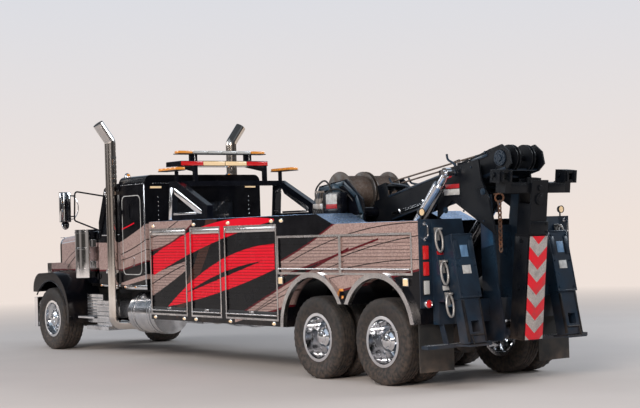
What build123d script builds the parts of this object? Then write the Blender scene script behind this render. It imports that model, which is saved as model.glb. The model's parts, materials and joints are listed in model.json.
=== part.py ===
from build123d import *
from math import asin, atan2, cos, degrees, hypot, radians, sin, sqrt
import os

os.makedirs("parts", exist_ok=True)

# A long-nosed three-axle recovery truck with a sleeper cab, a boxed body, a boom over the tail and a folded
# under-lift. Millimetres; X points forward, Y to the left, Z up, and the ground is at Z = 0.

# Running gear
front_axle_x = 4922
wheelbase = 8580
axle_spacing = 1337
tyre_radius = 530
bead_radius = 292
flange_radius = 312
flange_width = 12
barrel_wall = 18
front_tyre_width = 385
front_rim_width = 300
front_track = 1989
drive_tyre_width = 280
drive_rim_width = 212
drive_track = 1913
twin_spacing = 343
hub_radius = 125
spindle_radius = 45
running_fit = 0.05
part_gap = 6
kingpin_track = 1800
kingpin_radius = 25
beam_height = 110
beam_width = 100

# Frame
rail_width_over = 860
rail_height = 270
rail_flange = 85
rail_web = 10
rail_top = 1020
rail_nose = 800

# Tractor
cowl_back = 1080
cab_length = 1280
cab_width = 1920
cab_floor = 1090
cab_roof = 2760
screen_base = 2050
cab_wall = 60
door_base = 1130
door_gap = 7
door_glass_base = 1960
glass_thickness = 6
sleeper_length = 850
sleeper_width = 2140
sleeper_floor = 1060
sleeper_roof = 2850
sleeper_door_length = 610
sleeper_door_front = 80
sleeper_door_base = 1290
sleeper_door_height = 1260
hood_nose = 860
hood_front_width = 1120
hood_back_width = 1470
hood_base = 950
hood_front_top = 1930
hood_back_top = 2045
hood_wall = 25
hood_pin_x = 860
hood_pin_z = 912
fender_width_over = 2400
fender_top = 1330
fender_skin = 40
front_arch_radius = 655
bumper_width = 2240
bumper_face = 930
bumper_top = 880
bumper_base = 370
stack_radius = 89
stack_x = 2250
stack_track = 2296
stack_top = 3400
stack_base = 620
cleaner_radius = 193
cleaner_x = 950
cleaner_track = 1900
cleaner_base = 1235
cleaner_top = 2040
tank_radius = 320
tank_length = 800
tank_track = 1660
tank_z = 700

# Recovery body
body_front_gap = 390
body_width = 2470
body_box_width = 555
body_wall = 25
body_base = 635
body_front_top = 2110
body_rear_top = 1975
tail_overhang = 1390
top_slope_start = 640
top_slope_length = 340
arch_radius = 650
arch_height = 650
arch_lead = 40
arch_band = 65
arch_stand_out = 62
deck_thickness = 30
deck_rise = 6
deck_length = 3250
shutter_thickness = 14
shutter_inset = 20
shutter_rib_pitch = 80
frame_band = 28
bay_floor = 735
bay_top = 1975
upper_bay_floor = 1362
upper_bay_top = 1815

# Tail
tail_post_width = 190
tail_panel_inner = 560
tail_panel_outer = 1040
tail_panel_top = 1990
tail_panel_base = 1020
tail_lean = 11.8
tail_step_z = 500
tail_step_width = 2620
jack_track = 1580
jack_width = 300
jack_depth = 190
jack_wall = 12
jack_gap = 0.4
jack_top = 1770
jack_foot = 505

# Light tower
tower_width = 1900
tower_tube = 100
tower_front = 180
tower_rear = 1315
tower_top = 2714
tower_rear_low = 2320
board_top = 3030
board_height = 75
board_width = 1600
board_length = 445
light_bar_z = 3137
light_bar_height = 58
light_bar_width = 1620

# Winches and boom, measured from the middle of the drive axles
winch_frame_front = 1680
winch_frame_rear = 560
winch_frame_width = 1000
winch_frame_plate = 25
winch_frame_top = 2500
drum_x = 1200
drum_z = 2390
drum_flange_radius = 290
drum_width = 400
drum_shaft_radius = 45
boom_pivot_x = 730
boom_pivot_z = 2120
boom_pin_radius = 40
boom_angle = 12.2
boom_width = 360
boom_height = 330
boom_length = 2050
boom_wall = 16
boom_slide_gap = 4
cheek_gap = 790
cheek_plate = 25
head_width = 560
head_length = 700
sheave_radius = 160
sheave_width = 60
rope_radius = 11

# Lift cylinders
lift_track = 1080
lift_base_x = 130
lift_base_z = 1200
lift_eye_x = -1134
lift_eye_z = 2546
lift_barrel_radius = 80
lift_barrel_length = 1650
lift_rod_radius = 45
lift_eye_width = 80

# Under-lift, measured back from the tail of the body
mast_width = 500
mast_plate = 25
mast_length = 250
mast_base = 430
mast_top = 2270
fold_pin_x = 300
fold_pin_z = 610
fold_pin_radius = 40
arm_lean = 6.7
arm_width = 290
arm_depth = 250
arm_wall = 14
crossbar_width = 1060
crossbar_size = 120
crossbar_pin_radius = 35
receiver_width = 200
receiver_height = 150

# Places that follow from the sizes above
tandem_x = front_axle_x - wheelbase
drive_axle_xs = (tandem_x + axle_spacing / 2, tandem_x - axle_spacing / 2)
rail_outer = rail_width_over / 2
rail_front_x = front_axle_x + rail_nose
rail_base = rail_top - rail_height
cab_front_x = front_axle_x - cowl_back
sleeper_front_x = cab_front_x - cab_length
sleeper_rear_x = sleeper_front_x - sleeper_length
cab_half = cab_width / 2
sleeper_half = sleeper_width / 2
body_front_x = sleeper_rear_x - body_front_gap
body_rear_x = tandem_x - tail_overhang
body_half = body_width / 2
box_inner = body_half - body_box_width
slope_start_x = tandem_x + top_slope_start
slope_end_x = slope_start_x - top_slope_length
sides = (("left", 1), ("right", -1))


# A box that fills the ranges x, y and z.
def block(x, y, z, mode=Mode.ADD):
    with Locations(((x[0] + x[1]) / 2, (y[0] + y[1]) / 2, (z[0] + z[1]) / 2)):
        Box(abs(x[1] - x[0]), abs(y[1] - y[0]), abs(z[1] - z[0]), mode=mode)


# A vertical plane across the truck's width: its x is X, its y is Z, and it faces to the right, -Y.
def side_plane(y):
    return Plane(origin=(0, y, 0), x_dir=(1, 0, 0), z_dir=(0, -1, 0))


# A flat plate with the side outline points (x, z), over the range y.
def plate(points, y, mode=Mode.ADD):
    low, high = sorted(y)
    with BuildSketch(side_plane(high)) as outline:
        with BuildLine():
            Polyline(*points, close=True)
        make_face()
    extrude(outline.sketch, amount=high - low, mode=mode)


# A round bar or bore between two points.
def rod(start, end, radius, mode=Mode.ADD):
    first, last = Vector(*start), Vector(*end)
    with BuildSketch(Plane(origin=first, z_dir=last - first)) as section:
        Circle(radius)
    extrude(section.sketch, amount=(last - first).length, mode=mode)


# A round bar across the truck.
def cross_rod(x, z, y, radius, mode=Mode.ADD):
    rod((x, min(y), z), (x, max(y), z), radius, mode)


# The point (along, up) of a side view turned by an angle, upwards at the back, about a pivot.
def turned(pivot, along, up, angle):
    a = radians(angle)
    return (pivot[0] - along * cos(a) + up * sin(a), pivot[1] + along * sin(a) + up * cos(a))


def save(builder, label):
    builder.part.label = label
    export_step(builder.part, f"parts/{label}.step")


# Frame rails with crossmembers, the front horns that carry the hood's pins, and the tail beam.
hood_pin = (front_axle_x + hood_pin_x, hood_pin_z)
hood_pin_radius = 14
hood_ear = 22
crossmember_xs = [front_axle_x + 740, front_axle_x - 2050, front_axle_x - 2800, body_front_x - 500]
crossmember_xs += [body_front_x - 2000, tandem_x + 1150, tandem_x, body_rear_x + 450]

with BuildPart() as frame_rails:
    for name, side in sides:
        web = (side * rail_outer, side * (rail_outer - rail_web))
        flange = (side * rail_outer, side * (rail_outer - rail_flange))
        block((body_rear_x, rail_front_x), web, (rail_base, rail_top))
        block((body_rear_x, rail_front_x), flange, (rail_base, rail_base + rail_web))
        block((body_rear_x, rail_front_x), flange, (rail_top - rail_web, rail_top))
        plate(
            [
                (rail_front_x - 200, rail_top),
                (rail_front_x - 200, rail_base),
                (rail_front_x + 40, rail_base + 60),
                (hood_pin[0] + hood_ear, hood_pin[1] - 10),
                (hood_pin[0] + hood_ear, hood_pin[1] + hood_ear),
                (hood_pin[0] - hood_ear, hood_pin[1] + hood_ear),
            ],
            web,
        )
        cross_rod(*hood_pin, (side * rail_outer, side * (rail_outer - 60)), hood_pin_radius)
    for x in crossmember_xs:
        across = (-rail_outer + rail_web, rail_outer - rail_web)
        block((x - 50, x - 40), across, (rail_base + 40, rail_top - 40))
        for z in (rail_base + 40, rail_top - 50):
            block((x - 50, x + 30), across, (z, z + 10))
save(frame_rails, "frame_rails")


# Front axle beam: a dropped I-beam with bored ends for the kingpins, on two leaf springs with hangers.
kingpin_y = kingpin_track / 2
beam_low = tyre_radius - 60 - beam_height
spring_y = rail_outer - rail_flange / 2
spring_half = 700
spring_eye_z = rail_base - 90

with BuildPart() as front_axle:
    beam_plane = Plane(origin=(front_axle_x - beam_width / 2, 0, 0), x_dir=(0, 1, 0), z_dir=(1, 0, 0))
    with BuildSketch(beam_plane) as beam:
        with BuildLine():
            Polyline(
                (-kingpin_y, tyre_radius - 55),
                (-kingpin_y + 60, tyre_radius - 55),
                (-spring_y - 130, beam_low),
                (spring_y + 130, beam_low),
                (kingpin_y - 60, tyre_radius - 55),
                (kingpin_y, tyre_radius - 55),
                (kingpin_y, tyre_radius + 55),
                (kingpin_y - 60, tyre_radius + 55),
                (spring_y + 90, beam_low + beam_height),
                (-spring_y - 90, beam_low + beam_height),
                (-kingpin_y + 60, tyre_radius + 55),
                (-kingpin_y, tyre_radius + 55),
                close=True,
            )
        make_face()
    extrude(beam.sketch, amount=beam_width)
    for name, side in sides:
        y = side * kingpin_y
        rod((front_axle_x, y, tyre_radius - 55), (front_axle_x, y, tyre_radius + 55), beam_width / 2)
        bore = kingpin_radius + running_fit
        rod((front_axle_x, y, 0), (front_axle_x, y, 2 * tyre_radius), bore, Mode.SUBTRACT)
        leaf = (side * (spring_y - 40), side * (spring_y + 40))
        seat = beam_low + beam_height
        plate(
            [
                (front_axle_x - spring_half, spring_eye_z),
                (front_axle_x - 60, seat),
                (front_axle_x + 60, seat),
                (front_axle_x + spring_half, spring_eye_z),
                (front_axle_x + spring_half, spring_eye_z + 22),
                (front_axle_x + 120, seat + 70),
                (front_axle_x - 120, seat + 70),
                (front_axle_x - spring_half, spring_eye_z + 22),
            ],
            leaf,
        )
        for end in (-1, 1):
            x = front_axle_x + end * spring_half
            block((x - 45, x + 45), leaf, (spring_eye_z - 20, rail_base))
save(front_axle, "front_axle")


# Steering knuckles: two ears over and under the beam's end, the kingpin through it, and the wheel's spindle.
knuckle_face = 56
knuckle_back = 90
ear_gap = 6
ear_height = 34
front_wheel_y = front_track / 2
front_spindle_end = front_wheel_y + 105

for name, side in sides:
    with BuildPart() as knuckle:
        y = side * kingpin_y
        for low in (tyre_radius + 55 + ear_gap, tyre_radius - 55 - ear_gap - ear_height):
            block(
                (front_axle_x - 42, front_axle_x + 42),
                (y - side * 40, y + side * (knuckle_face + 5)),
                (low, low + ear_height),
            )
        block(
            (front_axle_x - 60, front_axle_x + 60),
            (y + side * knuckle_face, y + side * knuckle_back),
            (tyre_radius - 55 - ear_gap - ear_height, tyre_radius + 55 + ear_gap + ear_height),
        )
        rod(
            (front_axle_x, y, tyre_radius - 80),
            (front_axle_x, y, tyre_radius + 80),
            kingpin_radius,
        )
        cross_rod(
            front_axle_x,
            tyre_radius,
            (y + side * knuckle_back, side * front_spindle_end),
            spindle_radius,
        )
    save(knuckle, f"knuckle_{name}")


# Drive axles: tubes with a round differential housing each, joined by a walking beam under each frame rail.
drive_wheel_y = drive_track / 2
hub_in = 110
spindle_reach = 160
housing_radius = 80
housing_end = drive_wheel_y - hub_in - part_gap
banjo_radius = 215
beam_inner = rail_outer - rail_flange
walking_beam_height = 120

with BuildPart() as drive_axles:
    for x in drive_axle_xs:
        cross_rod(x, tyre_radius, (-housing_end, housing_end), housing_radius)
        cross_rod(
            x, tyre_radius, (-drive_wheel_y - spindle_reach, drive_wheel_y + spindle_reach), spindle_radius
        )
        rod((x - 120, 0, tyre_radius), (x + 120, 0, tyre_radius), banjo_radius)
        rod((x + 120, 0, tyre_radius + 30), (x + 330, 0, tyre_radius + 60), 95)
    for name, side in sides:
        y = (side * beam_inner, side * rail_outer)
        plate(
            [
                (drive_axle_xs[1] - 110, tyre_radius - 50),
                (tandem_x, tyre_radius - walking_beam_height),
                (drive_axle_xs[0] + 110, tyre_radius - 50),
                (drive_axle_xs[0] + 110, tyre_radius + 50),
                (tandem_x + 150, tyre_radius + walking_beam_height),
                (tandem_x + 190, rail_base),
                (tandem_x - 190, rail_base),
                (tandem_x - 150, tyre_radius + walking_beam_height),
                (drive_axle_xs[1] - 110, tyre_radius + 50),
            ],
            y,
        )
save(drive_axles, "drive_axles")


# The plane of a wheel's section: its x is outward along the axle, its y is the radius.
def section_plane(x, y, side):
    return Plane(origin=(x, y, tyre_radius), x_dir=(0, side, 0), z_dir=(side, 0, 0))


# A solid turned about an axle from section points (out, radius).
def turned_part(points, x, y, side):
    with BuildSketch(section_plane(x, y, side)) as section:
        with BuildLine():
            Polyline(*points, close=True)
        make_face()
    revolve(section.sketch, axis=Axis((x, y, tyre_radius), (0, 1, 0)))


# A tyre's half section, from the bead over the widest place to the middle of the tread.
def tyre_points(width, rim_width):
    half = rim_width / 2 - 0.3
    one_side = [
        (half, bead_radius),
        (half, bead_radius + 30),
        (width / 2, bead_radius + 115),
        (0.45 * width, tyre_radius - 40),
        (0.40 * width, tyre_radius - 8),
        (0.34 * width, tyre_radius),
    ]
    return one_side + [(-out, radius) for out, radius in reversed(one_side)]


rim_bore = spindle_radius + running_fit
barrel_outer = bead_radius - 0.3
barrel_inner = barrel_outer - barrel_wall
disc_half = 11
hand_holes = 10
hand_hole_radius = 27
hand_hole_circle = 205
hub_nose = 90

# Front wheels: one tyre on a rim whose disc stands outboard.
front_disc = 60
front_hub_in = front_wheel_y - kingpin_y - knuckle_back - part_gap
for name, side in sides:
    y = side * front_wheel_y
    with BuildPart() as tyre:
        turned_part(tyre_points(front_tyre_width, front_rim_width), front_axle_x, y, side)
    save(tyre, f"front_tyre_{name}")

    edge = front_rim_width / 2
    with BuildPart() as wheel:
        turned_part(
            [
                (-edge - flange_width, flange_radius),
                (-edge, flange_radius),
                (-edge, barrel_outer),
                (edge, barrel_outer),
                (edge, flange_radius),
                (edge + flange_width, flange_radius),
                (edge + flange_width, barrel_inner),
                (front_disc + 50, barrel_inner),
                (front_disc + disc_half, barrel_inner - 30),
                (front_disc + disc_half, hub_radius),
                (front_disc + 75, hub_radius),
                (front_disc + 100, hub_nose),
                (front_disc + 100, 0),
                (front_spindle_end - front_wheel_y + part_gap, 0),
                (front_spindle_end - front_wheel_y + part_gap, rim_bore),
                (-front_hub_in, rim_bore),
                (-front_hub_in, hub_radius),
                (front_disc - disc_half, hub_radius),
                (front_disc - disc_half, barrel_inner - 30),
                (front_disc, barrel_inner),
                (-edge - flange_width, barrel_inner),
            ],
            front_axle_x,
            y,
            side,
        )
        for turn in range(hand_holes):
            angle = radians(360 / hand_holes * turn)
            x = front_axle_x + hand_hole_circle * cos(angle)
            z = tyre_radius + hand_hole_circle * sin(angle)
            cross_rod(x, z, (y, y + side * 2 * front_disc), hand_hole_radius, Mode.SUBTRACT)
    save(wheel, f"front_wheel_{name}")


# Drive wheels: twin tyres on two rims that are bolted back to back at one hub.
half_twin = twin_spacing / 2
near = half_twin - drive_rim_width / 2
far = half_twin + drive_rim_width / 2
disc_flare = 24
drive_stations = [
    (f"{place}_{name}", x, side)
    for place, x in zip(("mid", "rear"), drive_axle_xs)
    for name, side in sides
]
for station, x, side in drive_stations:
    y = side * drive_wheel_y
    with BuildPart() as tyres:
        for shift in (half_twin, -half_twin):
            turned_part(tyre_points(drive_tyre_width, drive_rim_width), x, y + side * shift, side)
    save(tyres, f"drive_tyres_{station}")

    outer_rim = [
        (disc_half, hub_radius),
        (disc_half, barrel_inner - 36),
        (near + 6, barrel_inner),
        (far + flange_width, barrel_inner),
        (far + flange_width, flange_radius),
        (far, flange_radius),
        (far, barrel_outer),
        (near, barrel_outer),
        (near, flange_radius),
        (near - flange_width, flange_radius),
        (disc_flare, barrel_inner - 14),
    ]
    inner_rim = [(-out, radius) for out, radius in reversed(outer_rim)]
    hub = [
        (-hub_in, hub_radius),
        (-hub_in, rim_bore),
        (spindle_reach + part_gap, rim_bore),
        (spindle_reach + part_gap, 0),
        (spindle_reach + 60, 0),
        (spindle_reach + 60, hub_nose),
        (spindle_reach + 35, hub_radius),
    ]
    with BuildPart() as wheel:
        turned_part(outer_rim + inner_rim + hub, x, y, side)
        for turn in range(hand_holes):
            angle = radians(360 / hand_holes * turn)
            hole_x = x + hand_hole_circle * cos(angle)
            hole_z = tyre_radius + hand_hole_circle * sin(angle)
            cross_rod(hole_x, hole_z, (y - 2 * disc_half, y + 2 * disc_half), hand_hole_radius, Mode.SUBTRACT)
    save(wheel, f"drive_wheels_{station}")


# Engine and gearbox as plain blocks on the frame, and the radiator core behind the grille.
engine_half = 345
radiator_x = front_axle_x + 570

with BuildPart() as engine:
    block(
        (front_axle_x - 800, front_axle_x + 450),
        (-engine_half, engine_half),
        (rail_base + 20, 1700),
    )
    block((front_axle_x - 1900, front_axle_x - 800), (-230, 230), (rail_base + 20, 1040))
    block((radiator_x - 60, radiator_x + 60), (-rail_outer, rail_outer), (rail_top, 1820))
    block((radiator_x - 40, radiator_x + 40), (-engine_half, engine_half), (rail_base + 40, rail_top))
save(engine, "engine")


# A round tube along points, with bends of one radius.
def tube(points, radius, bend, mode=Mode.ADD):
    with BuildLine() as path:
        FilletPolyline(*points, radius=bend)
    with BuildSketch(Plane(origin=path.line @ 0, z_dir=path.line % 0)) as section:
        Circle(radius)
    sweep(section.sketch, path=path.line, mode=mode)


# Front bumper: a bent sheet with swept ends and turned-in flanges, on two brackets from the frame's nose.
bumper_sheet = 10
bumper_flange = 45
bumper_corner = 170
bumper_return = 260
bumper_end_y = bumper_width / 2
bumper_face_x = front_axle_x + bumper_face
bumper_back_x = bumper_face_x - bumper_return


# The bumper's outline from above, drawn in by some millimetres and raised over its lower edge.
def bumper_outline(inset, raised=0):
    with BuildSketch(Plane.XY.offset(bumper_base + raised)) as outline:
        with BuildLine():
            face = bumper_face_x - inset
            end = bumper_end_y - inset
            corner = bumper_corner - inset
            Line((face, -end + corner), (face, end - corner))
            RadiusArc((face, end - corner), (face - corner, end), -corner)
            Line((face - corner, end), (bumper_back_x, end))
            Line((bumper_back_x, end), (bumper_back_x, -end))
            Line((bumper_back_x, -end), (face - corner, -end))
            RadiusArc((face - corner, -end), (face, -end + corner), -corner)
        make_face()
    return outline.sketch


with BuildPart() as front_bumper:
    extrude(bumper_outline(0), amount=bumper_top - bumper_base)
    extrude(bumper_outline(bumper_flange), amount=bumper_top - bumper_base, mode=Mode.SUBTRACT)
    extrude(
        bumper_outline(bumper_sheet, bumper_sheet),
        amount=bumper_top - bumper_base - 2 * bumper_sheet,
        mode=Mode.SUBTRACT,
    )
    for name, side in sides:
        block(
            (rail_front_x, bumper_face_x - bumper_sheet),
            (side * (rail_outer + 12), side * rail_outer),
            (rail_base + 10, bumper_top - bumper_sheet),
        )
save(front_bumper, "front_bumper")


# Hood: a lofted shell from the grille to the cowl with the two front fenders. It tips about pins at its nose.
hood_front_x = front_axle_x + hood_nose - 60
hood_back_x = cab_front_x + part_gap
hood_side_base = 1130
hood_corner = 150
fender_half = fender_width_over / 2
fender_inner = 565
fender_foot_x = front_axle_x - 690
fender_foot_z = 470
fender_nose_x = front_axle_x + 650
fender_nose_z = 985
arch_centre = (front_axle_x, tyre_radius)


# A section across the hood, open to the length, with round shoulders.
def hood_section(x, half, top, inset):
    base = hood_side_base - (60 if inset else 0)
    with BuildSketch(Plane(origin=(x, 0, 0), x_dir=(0, 1, 0), z_dir=(1, 0, 0))) as section:
        with BuildLine():
            side_y = half - inset
            top_z = top - inset
            corner = hood_corner - inset
            Line((-side_y, base), (side_y, base))
            Line((side_y, base), (side_y, top_z - corner))
            RadiusArc((side_y, top_z - corner), (side_y - corner, top_z), -corner)
            Line((side_y - corner, top_z), (-side_y + corner, top_z))
            RadiusArc((-side_y + corner, top_z), (-side_y, top_z - corner), -corner)
            Line((-side_y, top_z - corner), (-side_y, base))
        make_face()
    return section.sketch


# The point of the front wheel arch at an angle from straight ahead.
def arch_point(angle):
    return (
        arch_centre[0] + front_arch_radius * cos(radians(angle)),
        arch_centre[1] + front_arch_radius * sin(radians(angle)),
    )


nose_angle = degrees(asin((fender_nose_z - tyre_radius) / front_arch_radius))
foot_angle = 180 + degrees(asin((tyre_radius - fender_foot_z) / front_arch_radius))


# The fender's side outline: a crowned top from its foot behind the wheel to its nose, over the round arch.
def fender_outline(y):
    with BuildSketch(side_plane(y)) as outline:
        with BuildLine():
            foot = (fender_foot_x, fender_foot_z)
            shoulder = (front_axle_x - 130, fender_top)
            brow = (front_axle_x + 330, fender_top - 22)
            nose = (fender_nose_x, fender_nose_z)
            ThreePointArc(foot, (front_axle_x - 560, 1060), shoulder)
            Line(shoulder, brow)
            ThreePointArc(brow, (front_axle_x + 575, fender_top - 110), nose)
            Line(nose, arch_point(nose_angle))
            ThreePointArc(arch_point(nose_angle), arch_point(100), arch_point(foot_angle))
            Line(arch_point(foot_angle), foot)
        make_face()
    return outline


with BuildPart() as hood:
    for name, side in sides:
        outer, inner = side * fender_half, side * fender_inner
        whole = fender_outline(max(outer, inner))
        extrude(whole.sketch, amount=fender_half - fender_inner)
        with BuildSketch(side_plane(max(outer, inner) - fender_skin)) as hollow:
            add(fender_outline(0).sketch_local)
            offset(amount=-fender_skin)
            with Locations(arch_centre):
                Circle(front_arch_radius + fender_skin + 1)
            with Locations((front_axle_x, fender_foot_z + 230 + fender_top)):
                Rectangle(2 * wheelbase, 2 * fender_top, mode=Mode.INTERSECT)
        extrude(
            hollow.sketch,
            amount=fender_half - fender_inner - 2 * fender_skin,
            mode=Mode.SUBTRACT,
        )
    shell = [
        hood_section(hood_front_x, hood_front_width / 2, hood_front_top, 0),
        hood_section(hood_back_x, hood_back_width / 2, hood_back_top, 0),
    ]
    core = [
        hood_section(hood_front_x + 1, hood_front_width / 2, hood_front_top, hood_wall),
        hood_section(hood_back_x - 1, hood_back_width / 2, hood_back_top, hood_wall),
    ]
    loft(shell)
    loft(core, mode=Mode.SUBTRACT)
save(hood, "hood")


# Grille: a polished surround with upright bars, and the two arms whose eyes turn on the hood's pins.
grille_half = hood_front_width / 2
grille_rim = 75
grille_bars = 13
grille_bar_width = 16
arm_y = (rail_outer - 55, rail_outer - 25)
arm_eye_radius = 24
grille_front_x = front_axle_x + hood_nose

with BuildPart() as grille:
    with BuildSketch(Plane(origin=(hood_front_x, 0, 0), x_dir=(0, 1, 0), z_dir=(1, 0, 0))) as surround:
        with BuildLine():
            top = hood_front_top
            Line((-grille_half, hood_base), (grille_half, hood_base))
            Line((grille_half, hood_base), (grille_half, top - hood_corner))
            RadiusArc((grille_half, top - hood_corner), (grille_half - hood_corner, top), -hood_corner)
            Line((grille_half - hood_corner, top), (-grille_half + hood_corner, top))
            RadiusArc((-grille_half + hood_corner, top), (-grille_half, top - hood_corner), -hood_corner)
            Line((-grille_half, top - hood_corner), (-grille_half, hood_base))
        make_face()
        offset(amount=-grille_rim, mode=Mode.SUBTRACT)
    extrude(surround.sketch, amount=grille_front_x - hood_front_x)
    opening_half = grille_half - grille_rim
    pitch = 2 * opening_half / (grille_bars + 1)
    for bar in range(1, grille_bars + 1):
        y = -opening_half + bar * pitch
        block(
            (grille_front_x - 40, grille_front_x - 12),
            (y - grille_bar_width / 2, y + grille_bar_width / 2),
            (hood_base + grille_rim - 2, hood_front_top - grille_rim + 2),
        )
    for name, side in sides:
        arm = (side * arm_y[0], side * arm_y[1])
        cross_rod(*hood_pin, arm, arm_eye_radius)
        block((hood_pin[0] - 20, hood_pin[0]), arm, (hood_pin[1], hood_base + 20))
        cross_rod(*hood_pin, arm, hood_pin_radius + running_fit, Mode.SUBTRACT)
save(grille, "grille")


# Headlamps: a pod of two round lamps on each fender, beside the grille.
lamp_pod_y = (650, 960)
lamp_pod_height = 150
lamp_radius = 62

with BuildPart() as headlamps:
    for name, side in sides:
        pod_x = front_axle_x + 470
        pod_base = fender_top - 60
        pod_range = (side * lamp_pod_y[0], side * lamp_pod_y[1])
        block((pod_x - 70, pod_x + 90), pod_range, (pod_base, pod_base + 210))
        for share in (0.27, 0.73):
            y = side * (lamp_pod_y[0] + share * (lamp_pod_y[1] - lamp_pod_y[0]))
            z = pod_base + 210 - lamp_pod_height / 2
            rod((pod_x + 90, y, z), (pod_x + 104, y, z), lamp_radius)
    add(hood.part, mode=Mode.SUBTRACT)
save(headlamps, "headlamps")


# Cab: walls that taper in to the cowl, a raked windscreen, and openings for doors and glass.
cowl_half = hood_back_width / 2
cab_corner_x = front_axle_x - 1420
screen_foot = (front_axle_x - 1380, screen_base)
screen_head = (screen_foot[0] - 260, cab_roof - 70)
door_front_x = front_axle_x - 1400
door_rear_x = door_front_x - 730
door_top = cab_roof - 150
door_side_margin = 60


# The solid inside the cab's faces, drawn in by some millimetres.
def cab_form(inset):
    with BuildPart() as form:
        with BuildSketch():
            with BuildLine():
                Polyline(
                    (cab_front_x, -cowl_half),
                    (cab_front_x, cowl_half),
                    (cab_corner_x, cab_half),
                    (sleeper_front_x, cab_half),
                    (sleeper_front_x, -cab_half),
                    (cab_corner_x, -cab_half),
                    close=True,
                )
            make_face()
            if inset:
                offset(amount=-inset, kind=Kind.INTERSECTION)
        extrude(amount=2 * cab_roof)
        with BuildSketch(side_plane(cab_width)) as profile:
            with BuildLine():
                Polyline(
                    (cab_front_x, cab_floor),
                    (cab_front_x, hood_back_top - 20),
                    screen_foot,
                    screen_head,
                    (screen_head[0] - 150, cab_roof),
                    (sleeper_front_x, cab_roof),
                    (sleeper_front_x, cab_floor),
                    close=True,
                )
            make_face()
            if inset:
                offset(amount=-inset, kind=Kind.INTERSECTION)
        extrude(profile.sketch, amount=2 * cab_width, mode=Mode.INTERSECT)
    return form.part


# A door's outline in side view, drawn in by some millimetres. Its front edge follows the screen pillar.
def door_points(inset):
    lean = (door_top - screen_base) / (screen_head[1] - screen_foot[1]) * (screen_foot[0] - screen_head[0])
    pillar_top_x = screen_foot[0] - lean - door_side_margin
    return [
        (door_front_x - inset, door_base + inset),
        (door_front_x - inset, screen_base - 90),
        (pillar_top_x - inset, door_top - inset),
        (door_rear_x + inset, door_top - inset),
        (door_rear_x + inset, door_base + inset),
    ]


# The window in a door.
def door_window_points(inset):
    pillar_foot, pillar_top = door_points(0)[1:3]
    return [
        (pillar_foot[0] - 85 - inset, door_glass_base + inset),
        (pillar_top[0] - 75 - inset, door_top - 60 - inset),
        (door_rear_x + 60 + inset, door_top - 60 - inset),
        (door_rear_x + 60 + inset, door_glass_base + inset),
    ]


# A point of the windscreen's face, by its share of the height and its depth behind that face.
screen_length = hypot(screen_head[0] - screen_foot[0], screen_head[1] - screen_foot[1])
screen_along = (
    (screen_head[0] - screen_foot[0]) / screen_length,
    (screen_head[1] - screen_foot[1]) / screen_length,
)


def screen_point(along, depth):
    return (
        screen_foot[0] + along * screen_along[0] - depth * screen_along[1],
        screen_foot[1] + along * screen_along[1] + depth * screen_along[0],
    )


# A door hinge's axis stands off the wall: the shell holds the pin in two eyes, and the door has the knuckle.
hinge_out = 16
hinge_pin_radius = 8
hinge_eye_radius = 15
hinge_eye_length = 18
hinge_knuckle_half = 30
hinge_end_gap = 1
hinge_leaf_length = 70
hinge_leaf_out = 10
cab_hinge_zs = (door_base + 130, screen_base - 125)


def hinge_pin(x, side, wall_y, z, seat):
    y = side * (wall_y + hinge_out)
    eye_start = hinge_knuckle_half + hinge_end_gap
    eye_end = eye_start + hinge_eye_length
    rod((x, y, z - eye_end), (x, y, z + eye_end), hinge_pin_radius)
    for low in (z - eye_end, z + eye_start):
        rod((x, y, low), (x, y, low + hinge_eye_length), hinge_eye_radius)
        block(
            (x, x + hinge_leaf_length / 2),
            (side * (wall_y - seat), side * (wall_y + hinge_leaf_out)),
            (low, low + hinge_eye_length),
        )


def hinge_knuckle(x, side, wall_y, z):
    y = side * (wall_y + hinge_out)
    heights = (z - hinge_knuckle_half, z + hinge_knuckle_half)
    rod((x, y, heights[0]), (x, y, heights[1]), hinge_eye_radius)
    block((x - hinge_leaf_length, x), (side * (wall_y - 1), side * (wall_y + hinge_leaf_out)), heights)
    rod((x, y, heights[0] - 1), (x, y, heights[1] + 1), hinge_pin_radius + running_fit, Mode.SUBTRACT)


screen_margin = 55
screen_half = cab_half - 110
passage_half = 330
passage = (cab_floor + cab_wall, 2450)
floor_clear = 0.3
rear_window_half = 560
rear_window = (1750, 2420)
rear_glass_inset = 20

with BuildPart() as cab_shell:
    add(cab_form(0))
    add(cab_form(cab_wall), mode=Mode.SUBTRACT)
    plate(
        [
            screen_point(screen_margin, -60),
            screen_point(screen_length - screen_margin, -60),
            screen_point(screen_length - screen_margin, 2 * cab_wall),
            screen_point(screen_margin, 2 * cab_wall),
        ],
        (-screen_half, screen_half),
        Mode.SUBTRACT,
    )
    block(
        (sleeper_front_x - 1, sleeper_front_x + cab_wall + 1),
        (-passage_half, passage_half),
        passage,
        Mode.SUBTRACT,
    )
    for name, side in sides:
        plate(door_points(0), (side * (cab_half - cab_wall), side * cab_width), Mode.SUBTRACT)
        block(
            (cab_front_x - 1150, cab_front_x - 120),
            (side * rail_outer, side * (rail_outer - rail_flange)),
            (rail_top, cab_floor),
        )
        for z in cab_hinge_zs:
            hinge_pin(door_front_x, side, cab_half, z, cab_wall)
save(cab_shell, "cab_shell")

with BuildPart() as cab_glass:
    depth = cab_wall / 2
    plate(
        [
            screen_point(screen_margin + floor_clear, depth),
            screen_point(screen_length - screen_margin - floor_clear, depth),
            screen_point(screen_length - screen_margin - floor_clear, depth + glass_thickness),
            screen_point(screen_margin + floor_clear, depth + glass_thickness),
        ],
        (-screen_half + floor_clear, screen_half - floor_clear),
    )
    block(
        (sleeper_rear_x + rear_glass_inset, sleeper_rear_x + rear_glass_inset + glass_thickness),
        (-rear_window_half + floor_clear, rear_window_half - floor_clear),
        (rear_window[0] + floor_clear, rear_window[1] - floor_clear),
    )
save(cab_glass, "cab_glass")


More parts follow.
